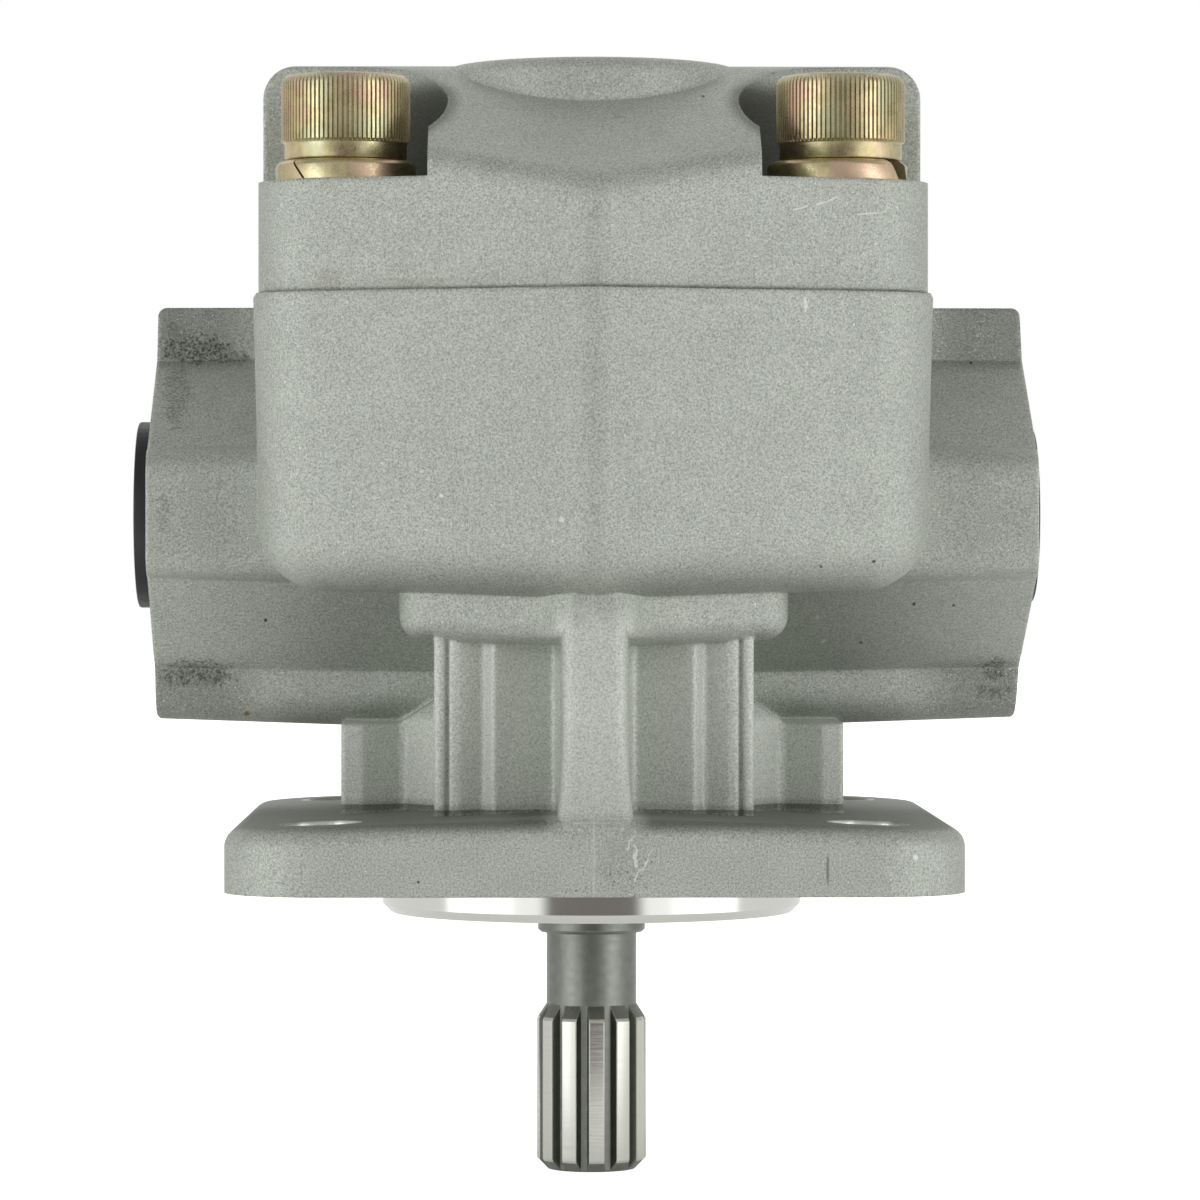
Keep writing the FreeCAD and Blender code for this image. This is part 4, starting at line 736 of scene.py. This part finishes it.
# Dust from the blasting lies on the upper edge of the heads.
height = add(tree, "SeparateXYZ", {0: point}).outputs["Z"]
dust = calc(tree, "MULTIPLY", remap(tree, height, *DUST_HEIGHT, *DUST_SHARE),
            remap(tree, fine, 0.35, 0.6))
colour = blend(tree, dust, colour, linear(ZINC_DUST))
gloss = calc(tree, "ADD", remap(tree, fine, 0.3, 0.7, *ZINC_GLOSS),
             calc(tree, "MULTIPLY", dust, DUST_DULLER))
bump = add(tree, "Bump", {"Height": fine, "Strength": 0.25, "Distance": 0.05 * MM})
principled(tree, {
    "Base Color": colour,
    "Metallic": 1.0,
    "Roughness": gloss,
    "Normal": bump.outputs[0],
})
add_piece("cap_screws", bolt_shapes, zinc, "housing", "cover_bolts")


# Spring washers: four rings coiled from square spring steel, cut with a slanting split and
# pressed flat under the heads. Plated and passivated like the bolts, so they share the material.

WASHER_STEPS = 90
WASHER_LEAN = 0.085
# Radius and height of the cross section.
WASHER_PROFILE = (
    (6.3, 0.0), (9.6, 0.0), (9.8, 0.2), (9.8, 2.2),
    (9.65, 2.5), (9.2, 2.85), (8.9, 3.0), (6.3, 3.0),
)
WASHER_MIDDLE = 1.5
# For each bolt: where the split faces and half its width in degrees, and how far the washer
# sits aside of the screw in millimetres.
WASHER_SPLITS = ((229.0, 1.2, 0.0), (333.0, 11.0, -0.5), (141.0, 3.0, 0.2), (35.0, 3.0, 0.0))

washer_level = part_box("spring_washers")[0][2]
washer_shapes = []
for (centre_x, centre_y), (facing, half_gap, aside) in zip(bolt_centres, WASHER_SPLITS):
    rings = []
    for step in range(WASHER_STEPS + 1):
        angle = math.radians(facing + half_gap + (360 - 2 * half_gap) * step / WASHER_STEPS)
        ring = []
        for reach, height in WASHER_PROFILE:
            leaning = angle - WASHER_LEAN * (height - WASHER_MIDDLE)
            ring.append((centre_x + (aside + reach * math.cos(leaning)) * MM,
                         centre_y + reach * math.sin(leaning) * MM,
                         washer_level + height * MM))
        rings.append(ring)
    washer_shapes.append(skin(rings))
add_piece("split_washers", washer_shapes, zinc, "housing", "spring_washers")


# Shipping plugs: two cups of black polyethylene, injection moulded and pushed into the ports by
# hand. Each is thin walled with a round brim, deep black with a soft sheen.

PLASTIC_DARK = "#08090A"
PLASTIC_LIGHT = "#101213"
PLASTIC_GLOSS = (0.38, 0.52)
plastic, tree, point = new_material("polyethylene, moulded black")
cloud = noise(tree, point, 1.5, 3.0, 0.6)
colour = blend(tree, remap(tree, cloud, 0.35, 0.65), linear(PLASTIC_DARK), linear(PLASTIC_LIGHT))
bump = add(tree, "Bump", {"Height": noise(tree, point, 0.4, 2.0), "Strength": 0.15,
                          "Distance": 0.05 * MM})
principled(tree, {
    "Base Color": colour,
    "Roughness": remap(tree, cloud, 0.3, 0.7, *PLASTIC_GLOSS),
    "Normal": bump.outputs[0],
})

PLUG_STEPS = 72
PLUG_WALL = 1.8
PLUG_STEM = 10.0
for node_name, body_name, side_sign, stem_radius, rim in (
        ("suction_port_plug", "suction_plug", -1, 10.95, 3.2),
        ("pressure_port_plug", "pressure_plug", 1, 9.95, 2.2)):
    low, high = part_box(node_name)
    rim_radius = (high[2] - low[2]) / 2 / MM
    centre_y = (low[1] + high[1]) / 2
    centre_z = (low[2] + high[2]) / 2
    bore = stem_radius - PLUG_WALL
    # Distance out from the pad's face and radius, from the closed inner end round to the cup.
    profile = (
        (-PLUG_STEM, 0.2), (-PLUG_STEM, stem_radius - 0.6), (0.5 - PLUG_STEM, stem_radius),
        (0.0, stem_radius), (0.0, rim_radius - 0.2), (0.2, rim_radius),
        (rim - 0.35, rim_radius), (rim - 0.1, rim_radius - 0.1), (rim, rim_radius - 0.35),
        (rim, bore + 0.5), (rim - 0.15, bore + 0.15), (rim - 0.5, bore),
        (PLUG_WALL - PLUG_STEM + 0.3, bore), (PLUG_WALL - PLUG_STEM, bore - 0.3),
        (PLUG_WALL - PLUG_STEM, 0.2),
    )
    rings = []
    for out, radius_mm in profile:
        rings.append([
            ((PAD_FACE + out) * side_sign * MM,
             centre_y + radius_mm * MM * math.cos(step * 2 * math.pi / PLUG_STEPS),
             centre_z + radius_mm * MM * math.sin(step * 2 * math.pi / PLUG_STEPS))
            for step in range(PLUG_STEPS)])
    add_piece(node_name.replace("port_plug", "cup"), [skin(rings)], plastic,
              body_name, node_name)


# Gear shafts and dowels: steel, turned, hobbed, case hardened and ground. The shafts run in the
# bushes and the dowels are pressed in. The end outside keeps the dark film of the furnace, while
# the spline's crests and all that runs inside the pump are ground bright.

STEEL_DARK = "#7C7F78"
STEEL_LIGHT = "#CFCFC7"
STEEL_GLOSS = (0.30, 0.40)
STEEL_EDGE = 0.25 * MM
CREST_RADIUS = 7.6
CREST_TOP = -19.0
CREST_GLOSSIER = 0.17
INSIDE_FROM = 5.0
INSIDE_BRIGHTER = 0.8
steel, tree, point = new_material("hardened steel, ground")
axes = add(tree, "SeparateXYZ", {0: point})
radius = distance(tree, axes.outputs["X"], axes.outputs["Y"], 0.0, 0.0)
stretched = add(tree, "VectorMath", {0: point, 1: (0.15, 0.15, 4.0)},
                operation="MULTIPLY").outputs[0]
lines = noise(tree, stretched, 1.0, 3.0, 0.6)
film = noise(tree, point, 1.2, 4.0, 0.6)
colour = blend(tree, remap(tree, film, 0.3, 0.7, 0.0, 0.08),
               linear(STEEL_DARK), linear(STEEL_LIGHT))
crest = calc(tree, "MULTIPLY", calc(tree, "GREATER_THAN", radius, CREST_RADIUS),
             calc(tree, "LESS_THAN", axes.outputs["Z"], CREST_TOP))
colour = blend(tree, crest, colour, linear(STEEL_LIGHT))
inside = calc(tree, "GREATER_THAN", axes.outputs["Z"], INSIDE_FROM)
colour = blend(tree, calc(tree, "MULTIPLY", inside, INSIDE_BRIGHTER), colour, linear(STEEL_LIGHT))
rounded = add(tree, "Bevel", {"Radius": STEEL_EDGE}, samples=6).outputs[0]
bump = add(tree, "Bump", {"Height": lines, "Strength": 0.12, "Distance": 0.03 * MM,
                          "Normal": rounded})
gloss = calc(tree, "SUBTRACT", remap(tree, lines, 0.3, 0.7, *STEEL_GLOSS),
             calc(tree, "MULTIPLY", crest, CREST_GLOSSIER))
principled(tree, {
    "Base Color": colour,
    "Metallic": 1.0,
    "Roughness": gloss,
    "Normal": bump.outputs[0],
})
for node_name in ("drive_gear_shaft", "driven_gear_shaft", "locating_dowels"):
    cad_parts[node_name].material_slots[0].material = steel


# Bearing blocks: two floating blocks of aluminium alloy that carry the bushes, extruded and
# machined all over, a bright satin. Like all the inner pieces they hardly show, so each material
# from here on has one plain pattern.

def plain(name, dark, light, size, metallic, low_gloss, high_gloss):
    """A material with one noise pattern in its colour, its gloss and its relief."""
    material, tree, point = new_material(name)
    pattern = noise(tree, point, size, 3.0, 0.6)
    bump = add(tree, "Bump", {"Height": pattern, "Strength": 0.2, "Distance": 0.05 * MM})
    principled(tree, {
        "Base Color": blend(tree, remap(tree, pattern, 0.35, 0.65), linear(dark), linear(light)),
        "Metallic": metallic,
        "Roughness": remap(tree, pattern, 0.3, 0.7, low_gloss, high_gloss),
        "Normal": bump.outputs[0],
    })
    return material


block_metal = plain("aluminium, machined", "#C3C4C0", "#DBDCD8", 0.8, 1.0, 0.25, 0.40)
for node_name in ("front_bearing_block", "rear_bearing_block"):
    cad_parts[node_name].material_slots[0].material = block_metal


# Bushes: four of them, rolled from steel backed bronze and pressed into the blocks. The running
# layer in them makes the bronze dark and satin.

bush_metal = plain("bronze with a dark running layer", "#6E5A3A", "#A9824F", 0.5, 1.0, 0.35, 0.55)
for node_name in ("drive_front_bush", "drive_rear_bush", "driven_front_bush", "driven_rear_bush"):
    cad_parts[node_name].material_slots[0].material = bush_metal


# Seals: nitrile rubber, moulded and laid in their grooves, and the lip of the shaft seal. Black
# with a dull sheen.

rubber = plain("nitrile rubber, moulded", "#121212", "#1E1E1E", 0.7, 0.0, 0.45, 0.60)
for node_name in ("front_lobe_seal", "rear_lobe_seal", "cover_seal_ring", "shaft_seal_lip"):
    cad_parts[node_name].material_slots[0].material = rubber


# Backup rings: polyamide, moulded, beside the shaped seals in the same grooves. A dull ivory.

nylon = plain("polyamide, natural", "#D6D0BC", "#E6E1D0", 1.0, 0.0, 0.40, 0.55)
for node_name in ("front_seal_backup", "rear_seal_backup"):
    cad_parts[node_name].material_slots[0].material = nylon


# Case of the shaft seal: pressed from sheet steel and pushed into its seat in the body. A thin
# coat of rubber makes it a dull near black.

coating = plain("pressed steel, rubber coated", "#1A1B1C", "#2A2B2C", 0.8, 0.0, 0.45, 0.60)
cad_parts["shaft_seal_case"].material_slots[0].material = coating


# Retaining ring and garter spring: spring steel, one stamped and sprung into its groove under
# the shaft seal, one coiled round its lip. Phosphating leaves them a dull dark grey.

spring_metal = plain("spring steel, phosphated", "#2B2B2D", "#47474A", 0.3, 0.9, 0.40, 0.55)
for node_name in ("seal_retaining_ring", "shaft_seal_spring"):
    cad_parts[node_name].material_slots[0].material = spring_metal
